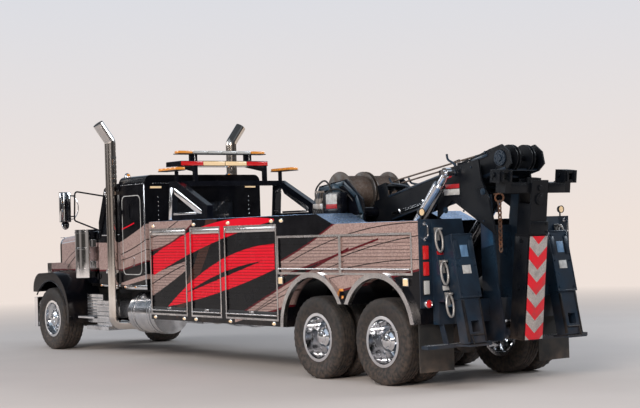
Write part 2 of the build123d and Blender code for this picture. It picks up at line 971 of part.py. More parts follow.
# Cab doors: hollow-framed panels with a window, and a mirror on two arms; each turns about its front edge.
mirror_x = front_axle_x - 1190
mirror_y = 1450
mirror_z = (2170, 2660)
mirror_width = 180
mirror_depth = 60
mirror_tube = 13
strut_y = 1330
strut_x = front_axle_x - 1290

for name, side in sides:
    outer, inner = side * cab_half, side * (cab_half - cab_wall)
    with BuildPart() as door:
        plate(door_points(door_gap), (outer, inner))
        plate(door_window_points(0), (outer, inner), Mode.SUBTRACT)
        handle_x = door_rear_x + 110
        block((handle_x - 15, handle_x + 75), (outer, outer + side * 22), (1640, 1665))
        upper = door_top - 45
        lower = screen_base - 40
        tube(
            [
                (door_points(0)[2][0] - 60, outer - side * 5, upper),
                (strut_x - 30, side * strut_y, mirror_z[1] + 10),
                (strut_x, side * (strut_y + 4), mirror_z[0] + 20),
                (door_front_x - 60, outer - side * 5, lower),
            ],
            mirror_tube,
            45,
        )
        for z in (mirror_z[0] + 90, mirror_z[1] - 60):
            rod((strut_x, side * (strut_y + 4), z), (mirror_x, side * mirror_y, z), 10)
        block(
            (mirror_x - mirror_depth / 2, mirror_x + mirror_depth / 2),
            (side * (mirror_y - mirror_width / 2), side * (mirror_y + mirror_width / 2)),
            mirror_z,
        )
        rod(
            (mirror_x - 20, side * mirror_y, mirror_z[0] - 42),
            (mirror_x + 30, side * mirror_y, mirror_z[0] - 42),
            58,
        )
        for z in cab_hinge_zs:
            hinge_knuckle(door_front_x, side, cab_half, z)
    save(door, f"cab_door_{name}")

    with BuildPart() as pane:
        middle = side * (cab_half - cab_wall / 2)
        plate(door_window_points(floor_clear), (middle - glass_thickness / 2, middle + glass_thickness / 2))
    save(pane, f"door_glass_{name}")


# Sleeper: a tall box with round roof edges, a passage to the cab, side doors and a framed rear window.
sleeper_wall = 50
sleeper_roof_corner = 110
sleeper_door_corner = 90
sleeper_window = (2170, 2410)
sleeper_window_depth = 12
sleeper_door_x = sleeper_front_x - sleeper_door_front
sleeper_hinge_zs = (sleeper_door_base + 260, sleeper_door_base + sleeper_door_height - 260)


# A rounded upright rectangle on a side wall.
def rounded_panel(x, z, corner, y, mode=Mode.ADD):
    low, high = sorted(y)
    with BuildSketch(side_plane(high)) as panel:
        with Locations(((x[0] + x[1]) / 2, (z[0] + z[1]) / 2)):
            RectangleRounded(abs(x[1] - x[0]), abs(z[1] - z[0]), corner)
    extrude(panel.sketch, amount=high - low, mode=mode)


with BuildPart() as sleeper_shell:
    block((sleeper_rear_x, sleeper_front_x), (-sleeper_half, sleeper_half), (sleeper_floor, sleeper_roof))
    roof_edges = sleeper_shell.edges().filter_by(Axis.X).group_by(Axis.Z)[-1]
    fillet(roof_edges, radius=sleeper_roof_corner)
    block(
        (sleeper_rear_x + sleeper_wall, sleeper_front_x - sleeper_wall),
        (-sleeper_half + sleeper_wall, sleeper_half - sleeper_wall),
        (sleeper_floor + sleeper_wall, sleeper_roof - sleeper_wall),
        Mode.SUBTRACT,
    )
    block(
        (sleeper_front_x - sleeper_wall - 1, sleeper_front_x + 1),
        (-passage_half, passage_half),
        passage,
        Mode.SUBTRACT,
    )
    block(
        (sleeper_rear_x - 1, sleeper_rear_x + sleeper_wall + 1),
        (-rear_window_half, rear_window_half),
        rear_window,
        Mode.SUBTRACT,
    )
    rounded_panel(
        (sleeper_door_x, sleeper_door_x - sleeper_door_length),
        (sleeper_door_base, sleeper_door_base + sleeper_door_height),
        sleeper_door_corner,
        (-sleeper_width, sleeper_width),
        Mode.SUBTRACT,
    )
    for name, side in sides:
        block(
            (sleeper_rear_x + 60, sleeper_front_x - 60),
            (side * rail_outer, side * (rail_outer - rail_flange)),
            (rail_top, sleeper_floor),
        )
        for z in sleeper_hinge_zs:
            hinge_pin(sleeper_door_x, side, sleeper_half, z, 1)
save(sleeper_shell, "sleeper_shell")

for name, side in sides:
    outer, inner = side * sleeper_half, side * (sleeper_half - sleeper_wall)
    with BuildPart() as sleeper_door:
        rounded_panel(
            (sleeper_door_x - door_gap, sleeper_door_x - sleeper_door_length + door_gap),
            (sleeper_door_base + door_gap, sleeper_door_base + sleeper_door_height - door_gap),
            sleeper_door_corner - door_gap,
            (outer, inner),
        )
        middle_x = sleeper_door_x - sleeper_door_length / 2
        window_floor = outer - side * sleeper_window_depth
        window_x = (middle_x - 70, middle_x + 70)
        rounded_panel(window_x, sleeper_window, 40, (outer, window_floor), Mode.SUBTRACT)
        block((middle_x - 70, middle_x - 20), (outer, outer + side * 25), (1440, 1560))
        for z in sleeper_hinge_zs:
            hinge_knuckle(sleeper_door_x, side, sleeper_half, z)
    save(sleeper_door, f"sleeper_door_{name}")


# Seats, bunk and dash inside the cab.
seat_y = 450
seat_x = front_axle_x - 1990
cab_deck = cab_floor + cab_wall
bunk_deck = sleeper_floor + sleeper_wall
dash_rear_x = front_axle_x - 1520
column_foot = (dash_rear_x + 40, 1700)
column_tilt = 50
column_length = 240
column_radius = 16
column_head = (
    column_foot[0] - column_length * cos(radians(column_tilt)),
    column_foot[1] + column_length * sin(radians(column_tilt)),
)

with BuildPart() as cab_interior:
    for name, side in sides:
        middle = side * seat_y
        block((seat_x - 20, seat_x + 440), (middle - 230, middle + 230), (cab_deck + 300, cab_deck + 450))
        block((seat_x - 20, seat_x + 110), (middle - 230, middle + 230), (cab_deck + 400, cab_deck + 1080))
        block((seat_x + 60, seat_x + 360), (middle - 170, middle + 170), (cab_deck, cab_deck + 310))
    block(
        (sleeper_rear_x + sleeper_wall, sleeper_front_x - sleeper_wall),
        (-sleeper_half + sleeper_wall, -passage_half - 30),
        (bunk_deck, bunk_deck + 520),
    )
    plate(
        [
            (cab_front_x - cab_wall, 1560),
            (cab_front_x - cab_wall, 1880),
            (dash_rear_x + 60, 1880),
            (dash_rear_x, 1820),
            (dash_rear_x + 30, 1560),
        ],
        (-cowl_half + cab_wall, cowl_half - cab_wall),
    )
    rod(
        (column_foot[0], seat_y, column_foot[1]),
        (column_head[0], seat_y, column_head[1]),
        column_radius,
    )
save(cab_interior, "cab_interior")


# Steering wheel: a rim, three spokes and a hub that turns on the column.
wheel_rim_radius = 215
with BuildPart() as steering_wheel:
    hub_plane = Plane(
        origin=(column_head[0], seat_y, column_head[1]),
        x_dir=(0, 1, 0),
        z_dir=(-cos(radians(column_tilt)), 0, sin(radians(column_tilt))),
    )
    with Locations(hub_plane):
        Torus(wheel_rim_radius, 14)
        Cylinder(34, 44)
        with Locations((0, 0, -12)):
            Cylinder(column_radius + running_fit, 24, mode=Mode.SUBTRACT)
        with PolarLocations(wheel_rim_radius / 2 + 8, 3, start_angle=-90):
            Box(wheel_rim_radius - 30, 26, 10)
save(steering_wheel, "steering_wheel")


# Exhaust stacks: upright tubes beside the cab's back, curved at the mouth and turned in to the frame below.
stack_mid_x = front_axle_x - stack_x
stack_y = stack_track / 2
stack_bend_z = stack_top + 30
mouth = (stack_y + 205, stack_top + 310)
mouth_wall = 4
stack_foot = (stack_mid_x - 260, rail_outer + 200, stack_base - 130)
bracket_zs = (1350, 2600)

with BuildPart() as exhaust_stacks:
    for name, side in sides:
        tube(
            [
                (stack_mid_x, side * mouth[0], mouth[1]),
                (stack_mid_x, side * stack_y, stack_bend_z),
                (stack_mid_x, side * stack_y, stack_base - 100),
                (stack_foot[0], side * stack_foot[1], stack_foot[2]),
                (stack_foot[0], side * rail_outer, stack_foot[2] + 60),
            ],
            stack_radius,
            110,
        )
        tube(
            [
                (stack_mid_x, side * (mouth[0] + 20), mouth[1] + 28),
                (stack_mid_x, side * stack_y, stack_bend_z),
                (stack_mid_x, side * stack_y, stack_top - 200),
            ],
            stack_radius - mouth_wall,
            110,
            Mode.SUBTRACT,
        )
        for z in bracket_zs:
            block(
                (sleeper_front_x, stack_mid_x),
                (side * (sleeper_half - 50), side * (stack_y - 20)),
                (z - 25, z + 25),
            )
            low_end, high_end = (stack_mid_x, side * stack_y, z - 22), (stack_mid_x, side * stack_y, z + 22)
            rod(low_end, high_end, stack_radius + 6)
save(exhaust_stacks, "exhaust_stacks")


# Air cleaners: banded canisters beside the cowl, on short ducts to the cab's corner.
cleaner_mid_x = front_axle_x - cleaner_x
cleaner_y = cleaner_track / 2
band_height = 26

with BuildPart() as air_cleaners:
    for name, side in sides:
        y = side * cleaner_y
        rod((cleaner_mid_x, y, cleaner_base), (cleaner_mid_x, y, cleaner_top), cleaner_radius)
        for z in (cleaner_base + 120, cleaner_top - 330, cleaner_top - 60):
            rod((cleaner_mid_x, y, z), (cleaner_mid_x, y, z + band_height), cleaner_radius + 5)
        for z in (cleaner_base + 160, cleaner_top - 290):
            block(
                (cleaner_mid_x - 420, cleaner_mid_x),
                (y - 60, y + 45),
                (z, z + 120),
            )
    add(cab_form(0), mode=Mode.SUBTRACT)
save(air_cleaners, "air_cleaners")


# Fuel tanks on strap brackets, and the step boxes ahead of them.
tank_front_x = sleeper_front_x - 340
tank_y = tank_track / 2
strap_width = 60

with BuildPart() as fuel_tanks:
    for name, side in sides:
        y = side * tank_y
        rod((tank_front_x, y, tank_z), (tank_front_x - tank_length, y, tank_z), tank_radius)
        for share in (0.2, 0.8):
            x = tank_front_x - share * tank_length
            rod((x - strap_width / 2, y, tank_z), (x + strap_width / 2, y, tank_z), tank_radius + 5)
            block(
                (x - strap_width / 2, x + strap_width / 2),
                (side * rail_outer, y),
                (rail_base + 20, rail_base + 120),
            )
save(fuel_tanks, "fuel_tanks")

step_box_x = (front_axle_x - 1620, front_axle_x - 2120)
step_box_y = 1130
step_box_z = (462, 872)
lower_step_x = (front_axle_x - 1370, front_axle_x - 2130)
battery_box_x = (front_axle_x - 960, front_axle_x - 1520)
upper_step_z = 575

with BuildPart() as step_boxes:
    for name, side in sides:
        block(step_box_x, (side * rail_outer, side * step_box_y), step_box_z)
        lower_step_y = (side * (rail_outer + 150), side * (step_box_y + 70))
        block(lower_step_x, lower_step_y, (step_box_z[0] - 60, step_box_z[0]))
        block(
            (battery_box_x[0], battery_box_x[1]),
            (side * rail_outer, side * (step_box_y - 160)),
            (step_box_z[0] + 30, rail_top - 60),
        )
        block(
            (battery_box_x[0] - 40, step_box_x[0] + 60),
            (side * (step_box_y - 170), side * (step_box_y + 40)),
            (upper_step_z, upper_step_z + 28),
        )
        rib_x = (step_box_x[0] + step_box_x[1]) / 2
        ribs = range(step_box_z[0] + 38, step_box_z[1] - 20, 36)
        with Locations(*[(rib_x, side * (step_box_y + 3), z) for z in ribs]):
            Box(step_box_x[0] - step_box_x[1] - 16, 8, 16)
save(step_boxes, "step_boxes")


# Recovery body: two rows of side boxes over the wheels with round arches, and the raised deck between them.
arch_xs = [x + arch_lead for x in drive_axle_xs]
middle_foot_z = 970
rear_foot_z = 760
sill_top = rail_top + 80
bays = [
    (body_front_x - 50, body_front_x - 1060, bay_floor, bay_top),
    (body_front_x - 1230, body_front_x - 2000, bay_floor, bay_top),
    (body_front_x - 2160, arch_xs[0] + arch_radius + arch_band + 145, bay_floor, bay_top),
    (tandem_x + 1505, tandem_x + 168, upper_bay_floor, upper_bay_top),
    (tandem_x + 118, body_rear_x + 140, upper_bay_floor, upper_bay_top),
]


frame_proud = 9


# How far along the truck an arch's round edge is from its middle at a height.
def arch_run(z):
    return sqrt(arch_radius**2 - (z - arch_height) ** 2)


with BuildPart() as recovery_body:
    for name, side in sides:
        outer, inner = side * body_half, side * box_inner
        with BuildSketch(side_plane(max(outer, inner))) as outline:
            with BuildLine():
                front_arch, rear_arch = arch_xs
                Polyline(
                    (front_arch + arch_run(body_base), body_base),
                    (body_front_x, body_base),
                    (body_front_x, body_front_top),
                    (slope_start_x, body_front_top),
                    (slope_end_x, body_rear_top),
                    (body_rear_x, body_rear_top),
                    (body_rear_x, rear_foot_z),
                    (rear_arch - arch_run(rear_foot_z), rear_foot_z),
                )
                ThreePointArc(
                    (rear_arch - arch_run(rear_foot_z), rear_foot_z),
                    (rear_arch, arch_height + arch_radius),
                    (rear_arch + arch_run(middle_foot_z), middle_foot_z),
                )
                Line(
                    (rear_arch + arch_run(middle_foot_z), middle_foot_z),
                    (front_arch - arch_run(middle_foot_z), middle_foot_z),
                )
                ThreePointArc(
                    (front_arch - arch_run(middle_foot_z), middle_foot_z),
                    (front_arch, arch_height + arch_radius),
                    (front_arch + arch_run(body_base), body_base),
                )
            make_face()
        extrude(outline.sketch, amount=body_box_width)
        with BuildSketch(side_plane(max(outer, inner) - body_wall)) as hollow:
            add(outline.sketch_local)
            offset(amount=-body_wall, kind=Kind.INTERSECTION)
        extrude(hollow.sketch, amount=body_box_width - 2 * body_wall, mode=Mode.SUBTRACT)
        for front, rear, floor, top in bays:
            block((rear, front), (outer + side, outer - side * 2 * body_wall), (floor, top), Mode.SUBTRACT)
        for front, rear, floor, top in bays[1:3]:
            partition = (front + frame_band, front + frame_band + 2 * body_wall)
            block(partition, (outer, inner), (body_base, body_front_top))
    deck_rear_x = body_front_x - deck_length
    block(
        (deck_rear_x, body_front_x),
        (-box_inner, box_inner),
        (body_front_top - deck_thickness, body_front_top + deck_rise),
    )
    block(
        (body_front_x - body_wall, body_front_x),
        (-box_inner, box_inner),
        (sill_top, body_front_top),
    )
save(recovery_body, "recovery_body")

# Roll-up shutters with slats, shut in their openings.
slat_rise = 6
slat_gap = 18
with BuildPart() as shutters:
    for name, side in sides:
        face = body_half - shutter_inset
        for front, rear, floor, top in bays:
            block(
                (rear + floor_clear, front - floor_clear),
                (side * (face - shutter_thickness), side * face),
                (floor + floor_clear, top - floor_clear),
            )
            slats = int((top - floor) / shutter_rib_pitch)
            pitch = (top - floor) / slats
            slat_y = side * (face + slat_rise / 2)
            with Locations(*[((rear + front) / 2, slat_y, floor + (n + 0.5) * pitch) for n in range(slats)]):
                Box(front - rear - 20, slat_rise, pitch - slat_gap)
save(shutters, "shutters")

# Polished frames and latch bars round the shutters, and the bands over the wheel arches.
latch_radius = 11

with BuildPart() as body_trim:
    for name, side in sides:
        outer = side * body_half
        for front, rear, floor, top in bays:
            block(
                (rear - frame_band, front + frame_band),
                (outer, outer + side * frame_proud),
                (floor - frame_band, top + frame_band),
            )
            block((rear, front), (outer - side, outer + side * 2 * frame_proud), (floor, top), Mode.SUBTRACT)
        for front, rear, floor, top in bays:
            latch_z = floor + 45
            latch_y = outer + side * (frame_proud + latch_radius)
            rod((rear + 10, latch_y, latch_z), (front - 10, latch_y, latch_z), latch_radius)
            for x in (rear, front):
                block(
                    (x - frame_band / 2, x + frame_band / 2),
                    (outer, latch_y),
                    (latch_z - 12, latch_z + 12),
                )
        for x, front_foot, rear_foot in (
            (arch_xs[0], body_base + 5, middle_foot_z),
            (arch_xs[1], middle_foot_z, rear_foot_z),
        ):
            high = max(outer, outer + side * arch_stand_out)
            with BuildSketch(side_plane(high)) as band:
                with Locations((x, arch_height)):
                    Circle(arch_radius + arch_band)
                    Circle(arch_radius, mode=Mode.SUBTRACT)
                with Locations((x + wheelbase / 2, front_foot - body_half)):
                    Rectangle(wheelbase, 2 * body_half, mode=Mode.SUBTRACT)
                with Locations((x - wheelbase / 2, rear_foot - body_half)):
                    Rectangle(wheelbase, 2 * body_half, mode=Mode.SUBTRACT)
            extrude(band.sketch, amount=arch_stand_out)
save(body_trim, "body_trim")


# Tail panels: an end post and a raked panel with its jack sleeve on each side.
lean = radians(tail_lean)
panel_head = (body_rear_x - 15, tail_panel_top)
post_thickness = 15
post_inner = body_half - tail_post_width
post_seam = 0.4
tail_beam_length = 110
jack_y = jack_track / 2
sleeve_top = (tail_panel_top - jack_top) / cos(lean)
sleeve_base = sleeve_top + 760
mast_half = mast_width / 2
fold_pin = (body_rear_x - fold_pin_x, fold_pin_z)
collar_radius = 62


# The point that lies down the raked tail panel and out from its face.
def tail_point(down, out):
    return (
        panel_head[0] - down * sin(lean) - out * cos(lean),
        panel_head[1] - down * cos(lean) + out * sin(lean),
    )


# A box on the raked tail panel, over ranges down the panel, out from it and across the truck.
def tail_block(down, out, y, mode=Mode.ADD):
    corners = [(down[0], out[0]), (down[0], out[1]), (down[1], out[1]), (down[1], out[0])]
    plate([tail_point(*corner) for corner in corners], y, mode)


panel_foot = tail_point((tail_panel_top - tail_panel_base) / cos(lean), 0)
leg_width = jack_width - 2 * (jack_wall + jack_gap)
leg_out = (jack_wall + jack_gap, jack_depth - jack_wall - jack_gap)

with BuildPart() as tail_panels:
    for name, side in sides:
        block(
            (body_rear_x - post_thickness, body_rear_x),
            (side * post_inner, side * body_half),
            (tail_panel_base - 70, tail_panel_top),
        )
        plate(
            [
                (body_rear_x, panel_head[1]),
                panel_head,
                panel_foot,
                (body_rear_x, panel_foot[1]),
            ],
            (side * tail_panel_inner, side * (post_inner - post_seam)),
        )
        jack_range = (side * jack_y - jack_width / 2, side * jack_y + jack_width / 2)
        tail_block((sleeve_top, sleeve_base), (-5, jack_depth), jack_range)
        tail_block(
            (sleeve_top - 1, sleeve_base + 1),
            (jack_wall, jack_depth - jack_wall),
            (jack_range[0] + jack_wall, jack_range[1] - jack_wall),
            Mode.SUBTRACT,
        )
save(tail_panels, "tail_panels")


# Tail frame: the tail beam, the plate behind the under-lift and the two mast plates with the fold pin.
with BuildPart() as tail_frame:
    for name, side in sides:
        plate(
            [
                (body_rear_x, mast_base + 60),
                (body_rear_x, 2000),
                (body_rear_x - 50, mast_top),
                (body_rear_x - 190, mast_top),
                (body_rear_x - mast_length - 15, 1200),
                (fold_pin[0] - 70, fold_pin[1] + 60),
                (fold_pin[0] - 70, fold_pin[1] - 50),
                (fold_pin[0] - 20, fold_pin[1] - 90),
            ],
            (side * mast_half, side * (mast_half - mast_plate)),
        )
        cross_rod(*fold_pin, (side * (arm_width / 2 + 5), side * (mast_half - 1)), collar_radius)
    block(
        (body_rear_x - tail_beam_length, body_rear_x),
        (-tail_panel_outer, tail_panel_outer),
        (rail_base, rail_top),
    )
    block(
        (body_rear_x - 30, body_rear_x),
        (-mast_half, mast_half),
        (rail_top - 10, 1900),
    )
    cross_rod(*fold_pin, (-mast_half, mast_half), fold_pin_radius)
save(tail_frame, "tail_frame")


# Stabilizer jacks: a box leg in each sleeve, with a level foot.
foot_half_x = 120
foot_half_y = 165
foot_thickness = 22
leg_top = sleeve_top + 90
leg_foot = (tail_panel_top - jack_foot) / cos(lean)

for name, side in sides:
    with BuildPart() as jack:
        leg_y = (side * jack_y - leg_width / 2, side * jack_y + leg_width / 2)
        tail_block((leg_top, leg_foot), leg_out, leg_y)
        tail_block(
            (leg_foot - 260, leg_foot - 130),
            (leg_out[0] - 1, leg_out[1] + 1),
            (side * jack_y - 60, side * jack_y + 60),
            Mode.SUBTRACT,
        )
        foot_x = tail_point(leg_foot, jack_depth / 2)[0]
        block(
            (foot_x - foot_half_x, foot_x + foot_half_x),
            (side * jack_y - foot_half_y, side * jack_y + foot_half_y),
            (jack_foot, jack_foot + foot_thickness),
        )
    save(jack, f"jack_{name}")


# Tow hooks: three on each raked panel, a bent bar on a pad.
hook_y = 985
hook_downs = (150, 540, 925)
hook_radius = 13
hook_spread = 24
hook_reach = 75
hook_pad = 40

with BuildPart() as tow_hooks:
    for name, side in sides:
        for down in hook_downs:
            pad_range = (side * hook_y - hook_pad, side * hook_y + hook_pad)
            tail_block((down - hook_pad - 5, down + hook_pad + 5), (0, 16), pad_range)
            low = tail_point(down - 30, 8)
            out_low = tail_point(down - 15, hook_reach)
            tube(
                [
                    (low[0], side * (hook_y - hook_spread), low[1]),
                    (out_low[0], side * (hook_y - hook_spread), out_low[1]),
                    (out_low[0], side * (hook_y + hook_spread), out_low[1]),
                    (low[0], side * (hook_y + hook_spread), low[1]),
                ],
                hook_radius,
                20,
            )
    add(tail_panels.part, mode=Mode.SUBTRACT)
save(tow_hooks, "tow_hooks")


# Grab handles and the split tail step.
grab_y = 1150
grab_radius = 10
grab_zs = (1760, 1940)
grab_reach = 75
step_tube = 40
step_x = body_rear_x - 150

with BuildPart() as tail_fittings:
    for name, side in sides:
        grab_foot_x = body_rear_x - post_thickness + 4
        tube(
            [
                (grab_foot_x, side * grab_y, grab_zs[0]),
                (body_rear_x - grab_reach, side * grab_y, grab_zs[0]),
                (body_rear_x - grab_reach, side * grab_y, grab_zs[1]),
                (grab_foot_x, side * grab_y, grab_zs[1]),
            ],
            grab_radius,
            3 * grab_radius,
        )
        block(
            (step_x - 60, step_x + 60),
            (side * (mast_half + 60), side * tail_step_width / 2),
            (tail_step_z - step_tube / 2, tail_step_z + step_tube / 2),
        )
        for y in (mast_half + 120, tail_panel_outer - 60):
            plate(
                [
                    (body_rear_x - 20, rail_base + 60),
                    (body_rear_x - 90, rail_base + 60),
                    (step_x - 50, tail_step_z),
                    (step_x + 40, tail_step_z),
                ],
                (side * y - 8, side * y + 8),
            )
    add(tail_frame.part, mode=Mode.SUBTRACT)
    add(tail_panels.part, mode=Mode.SUBTRACT)
save(tail_fittings, "tail_fittings")


# Mud flaps under the body's tail corners.
flap_x = body_rear_x + 40
with BuildPart() as mud_flaps:
    for name, side in sides:
        block((flap_x, flap_x + 12), (side * 700, side * (body_half - 5)), (190, rear_foot_z))
save(mud_flaps, "mud_flaps")


# Light tower: two triangular side frames on the boxes, joined by beams that carry the light board.
tower_front_x = body_front_x - tower_front
tower_rear_x = body_front_x - tower_rear
tower_peak_x = (tower_front_x - 60, tower_front_x - 265)
tower_half = tower_width / 2 + tower_tube / 2
board_x = (sleeper_rear_x - 205, sleeper_rear_x - 205 - board_length)
board_base = board_top - board_height
upright_y = 635
upright_size = 60
bar_x = board_x[1] + 130
bar_depth = 150

with BuildPart() as light_tower:
    for name, side in sides:
        y = (side * tower_half, side * (tower_half - tower_tube))
        outline = [
            (tower_front_x, body_front_top),
            (tower_peak_x[0], tower_top),
            (tower_peak_x[1], tower_top),
            (tower_rear_x, tower_rear_low),
            (tower_rear_x, body_front_top),
        ]
        window = [
            (tower_front_x - 95, body_front_top + 85),
            (tower_peak_x[0] - 85, tower_top - 110),
            (tower_peak_x[1] + 15, tower_top - 110),
            (tower_rear_x + 120, tower_rear_low - 45),
            (tower_rear_x + 120, body_front_top + 85),
        ]
        plate(outline, y)
        plate(window, y, Mode.SUBTRACT)
        block(
            (tower_peak_x[1] + 10, tower_peak_x[1] + 10 + upright_size),
            (side * upright_y - upright_size / 2, side * upright_y + upright_size / 2),
            (tower_top - 20, board_base - 40),
        )
        plate(
            [
                (tower_peak_x[1] + 10, board_base - 90),
                (tower_peak_x[1] + 10, board_base),
                (board_x[0] - 60, board_base),
                (tower_peak_x[1] + 80, board_base - 90),
            ],
            (side * upright_y - upright_size / 2, side * upright_y + upright_size / 2),
        )
        block(
            (bar_x - 30, bar_x + 30),
            (side * 500 - 60, side * 500 + 60),
            (board_top, light_bar_z),
        )
        block(
            (tower_peak_x[1] + 40, tower_peak_x[1] + 90),
            (side * (tower_half - 70), side * (tower_half - 30)),
            (tower_top, tower_top + 150),
        )
    block(
        (tower_peak_x[1] + 5, tower_peak_x[0] - 5),
        (-tower_half, tower_half),
        (tower_top - 75, tower_top),
    )
    block(board_x, (-board_width / 2, board_width / 2), (board_base, board_top))
save(light_tower, "light_tower")


# Lamps: the long bar over the board, two short bars on the tower, side markers, work lamps and tail lamps.
short_bar_length = 560
short_bar_x = tower_peak_x[1] + 65
top_marker_z = 2043
low_marker_z = 690
marker_height = 32
lamp_radius_tail = 52

with BuildPart() as lamps:
    block(
        (bar_x - bar_depth / 2, bar_x + bar_depth / 2),
        (-light_bar_width / 2, light_bar_width / 2),
        (light_bar_z, light_bar_z + light_bar_height),
    )
    for name, side in sides:
        outer = side * body_half
        short_y = side * (tower_half + 35)
        block(
            (short_bar_x - short_bar_length / 2, short_bar_x + short_bar_length / 2),
            (short_y - 90, short_y + 90),
            (tower_top + 150, tower_top + 205),
        )
        top_xs = [bay[0] - 80 for bay in bays[:4]] + [bays[2][1] + 90]
        low_xs = [bay[0] - 80 for bay in bays[:3]] + [bays[0][1] + 80, bays[2][1] + 90]
        for xs, z in ((top_xs, top_marker_z), (low_xs, low_marker_z - 20)):
            with Locations(*[(x, outer + side * 9, z) for x in xs]):
                Box(66, 18, marker_height)
        post_x = body_rear_x - post_thickness
        for z in (1600, 1410, 1190):
            block((post_x - 16, post_x), (side * 1147 - 60, side * 1147 + 60), (z - 75, z + 75))
        rod((post_x, side * 1148, 1000), (post_x - 50, side * 1148, 1000), lamp_radius_tail)
        rod((body_rear_x + 45, side * 1150, body_rear_top), (body_rear_x + 45, side * 1150, 2030), 10)
        rod((body_rear_x + 75, side * 1150, 2075), (body_rear_x + 15, side * 1150, 2075), 48)
save(lamps, "lamps")


# Winch frame: the sills on the rails with their crossmembers and the lugs of the lift cylinders, and the two side
# plates that carry the drum shaft and the boom pin.
winch_front_x = tandem_x + winch_frame_front
winch_rear_x = tandem_x + winch_frame_rear
winch_half = winch_frame_width / 2
drum_centre = (tandem_x + drum_x, drum_z)
boom_pivot = (tandem_x + boom_pivot_x, boom_pivot_z)
lift_base = (tandem_x + lift_base_x, lift_base_z)
lift_y = lift_track / 2
lift_pin_radius = 35
lift_ear = 20
ear_inner = lift_y - lift_barrel_radius - lift_ear
ear_outer = lift_y + lift_barrel_radius + lift_ear
ear_foot = 110
ear_head = 50
cross_xs = (body_front_x - 55, body_front_x - 1700, tandem_x + 1400, tandem_x, body_rear_x + 60)
cross_half = 30

with BuildPart() as winch_frame:
    for name, side in sides:
        sill_inner = side * (rail_outer - rail_flange)
        block((body_rear_x, body_front_x), (side * rail_outer, sill_inner), (rail_top, sill_top))
        for x in cross_xs:
            block((x - cross_half, x + cross_half), (sill_inner, side * box_inner), (rail_top, sill_top))
        for edge in (ear_inner, ear_outer - lift_ear):
            plate(
                [
                    (lift_base[0] - ear_foot, sill_top),
                    (lift_base[0] - ear_head, lift_base[1] + ear_head),
                    (lift_base[0] + ear_head, lift_base[1] + ear_head),
                    (lift_base[0] + ear_foot, sill_top),
                ],
                (side * edge, side * (edge + lift_ear)),
            )
        cross_rod(*lift_base, (side * ear_inner, side * ear_outer), lift_pin_radius)
        block(
            (lift_base[0] - ear_foot, lift_base[0] + ear_foot),
            (sill_inner, side * box_inner),
            (sill_top - 14, sill_top),
        )
        y = (side * winch_half, side * (winch_half - winch_frame_plate))
        plate(
            [
                (winch_front_x, sill_top),
                (winch_front_x, winch_frame_top - 180),
                (winch_front_x - 130, winch_frame_top),
                (drum_centre[0] - 250, winch_frame_top + 70),
                (winch_rear_x + 40, boom_pivot_z + 170),
                (winch_rear_x, boom_pivot_z),
                (winch_rear_x + 60, sill_top),
            ],
            y,
        )
        cross_rod(*boom_pivot, (side * (boom_width / 2 + part_gap), side * winch_half), 75)
        block(
            (winch_rear_x + 60, winch_front_x),
            (side * winch_half, side * (rail_outer - rail_flange)),
            (sill_top, sill_top + 16),
        )
    inner = winch_half - winch_frame_plate
    block((winch_front_x - 16, winch_front_x), (-inner, inner), (sill_top, drum_z - 150))
    block((winch_front_x - 110, winch_front_x - 16), (-inner, inner), (drum_z - 190, drum_z - 150))
    cross_rod(*drum_centre, (-winch_half, winch_half), drum_shaft_radius)
    cross_rod(*boom_pivot, (-winch_half, winch_half), boom_pin_radius)
save(winch_frame, "winch_frame")


# Winch drums side by side on the shaft, each full of rope.
drum_flange = 16
drum_gap = 20
rope_pack_radius = 225
for name, side in sides:
    with BuildPart() as drum:
        inner_y = drum_gap
        outer_y = drum_gap + drum_width
        middle = (drum_centre[0], 0, drum_centre[1])
        with BuildSketch(Plane(origin=middle, x_dir=(0, side, 0), z_dir=(side, 0, 0))) as section:
            with BuildLine():
                Polyline(
                    (inner_y, drum_shaft_radius + running_fit),
                    (outer_y, drum_shaft_radius + running_fit),
                    (outer_y, drum_flange_radius),
                    (outer_y - drum_flange, drum_flange_radius),
                    (outer_y - drum_flange, rope_pack_radius),
                    (inner_y + drum_flange, rope_pack_radius),
                    (inner_y + drum_flange, drum_flange_radius),
                    (inner_y, drum_flange_radius),
                    close=True,
                )
            make_face()
        revolve(section.sketch, axis=Axis(middle, (0, 1, 0)))
    save(drum, f"winch_drum_{name}")


# The point that lies along the boom from its pin and up from its axis.
def boom_point(along, up):
    return turned(boom_pivot, along, up, boom_angle)


# A box in the boom's own directions.
def boom_block(along, up, y, mode=Mode.ADD):
    corners = [(along[0], up[0]), (along[0], up[1]), (along[1], up[1]), (along[1], up[0])]
    plate([boom_point(*corner) for corner in corners], y, mode)


# Boom: a hollow box from the pin to the tail, cheek plates at its end, a rope guide and two horns.
boom_up = (144 - boom_height, 144)
boom_half = boom_width / 2
boom_nose = 110
boom_bore_up = (boom_up[0] + boom_wall, boom_up[1] - boom_wall)
boom_bore_half = boom_half - boom_wall
cheek_outer = cheek_gap / 2 + cheek_plate
cheek_points = [
    (tandem_x - 857, 2585),
    (tandem_x - 1570, 2690),
    (tandem_x - 1612, 2440),
    (tandem_x - 1727, 2226),
    (tandem_x - 1842, 1780),
    (tandem_x - 1080, 2215),
    (tandem_x - 792, 1995),
]
guide_along = (110, 290)
guide_top = 330
guide_radius = 28
roller_alongs = (140, 260)
roller_up = guide_top - 40
groove_depth = 28
groove_lip = 12
lift_eye = (tandem_x + lift_eye_x, lift_eye_z)

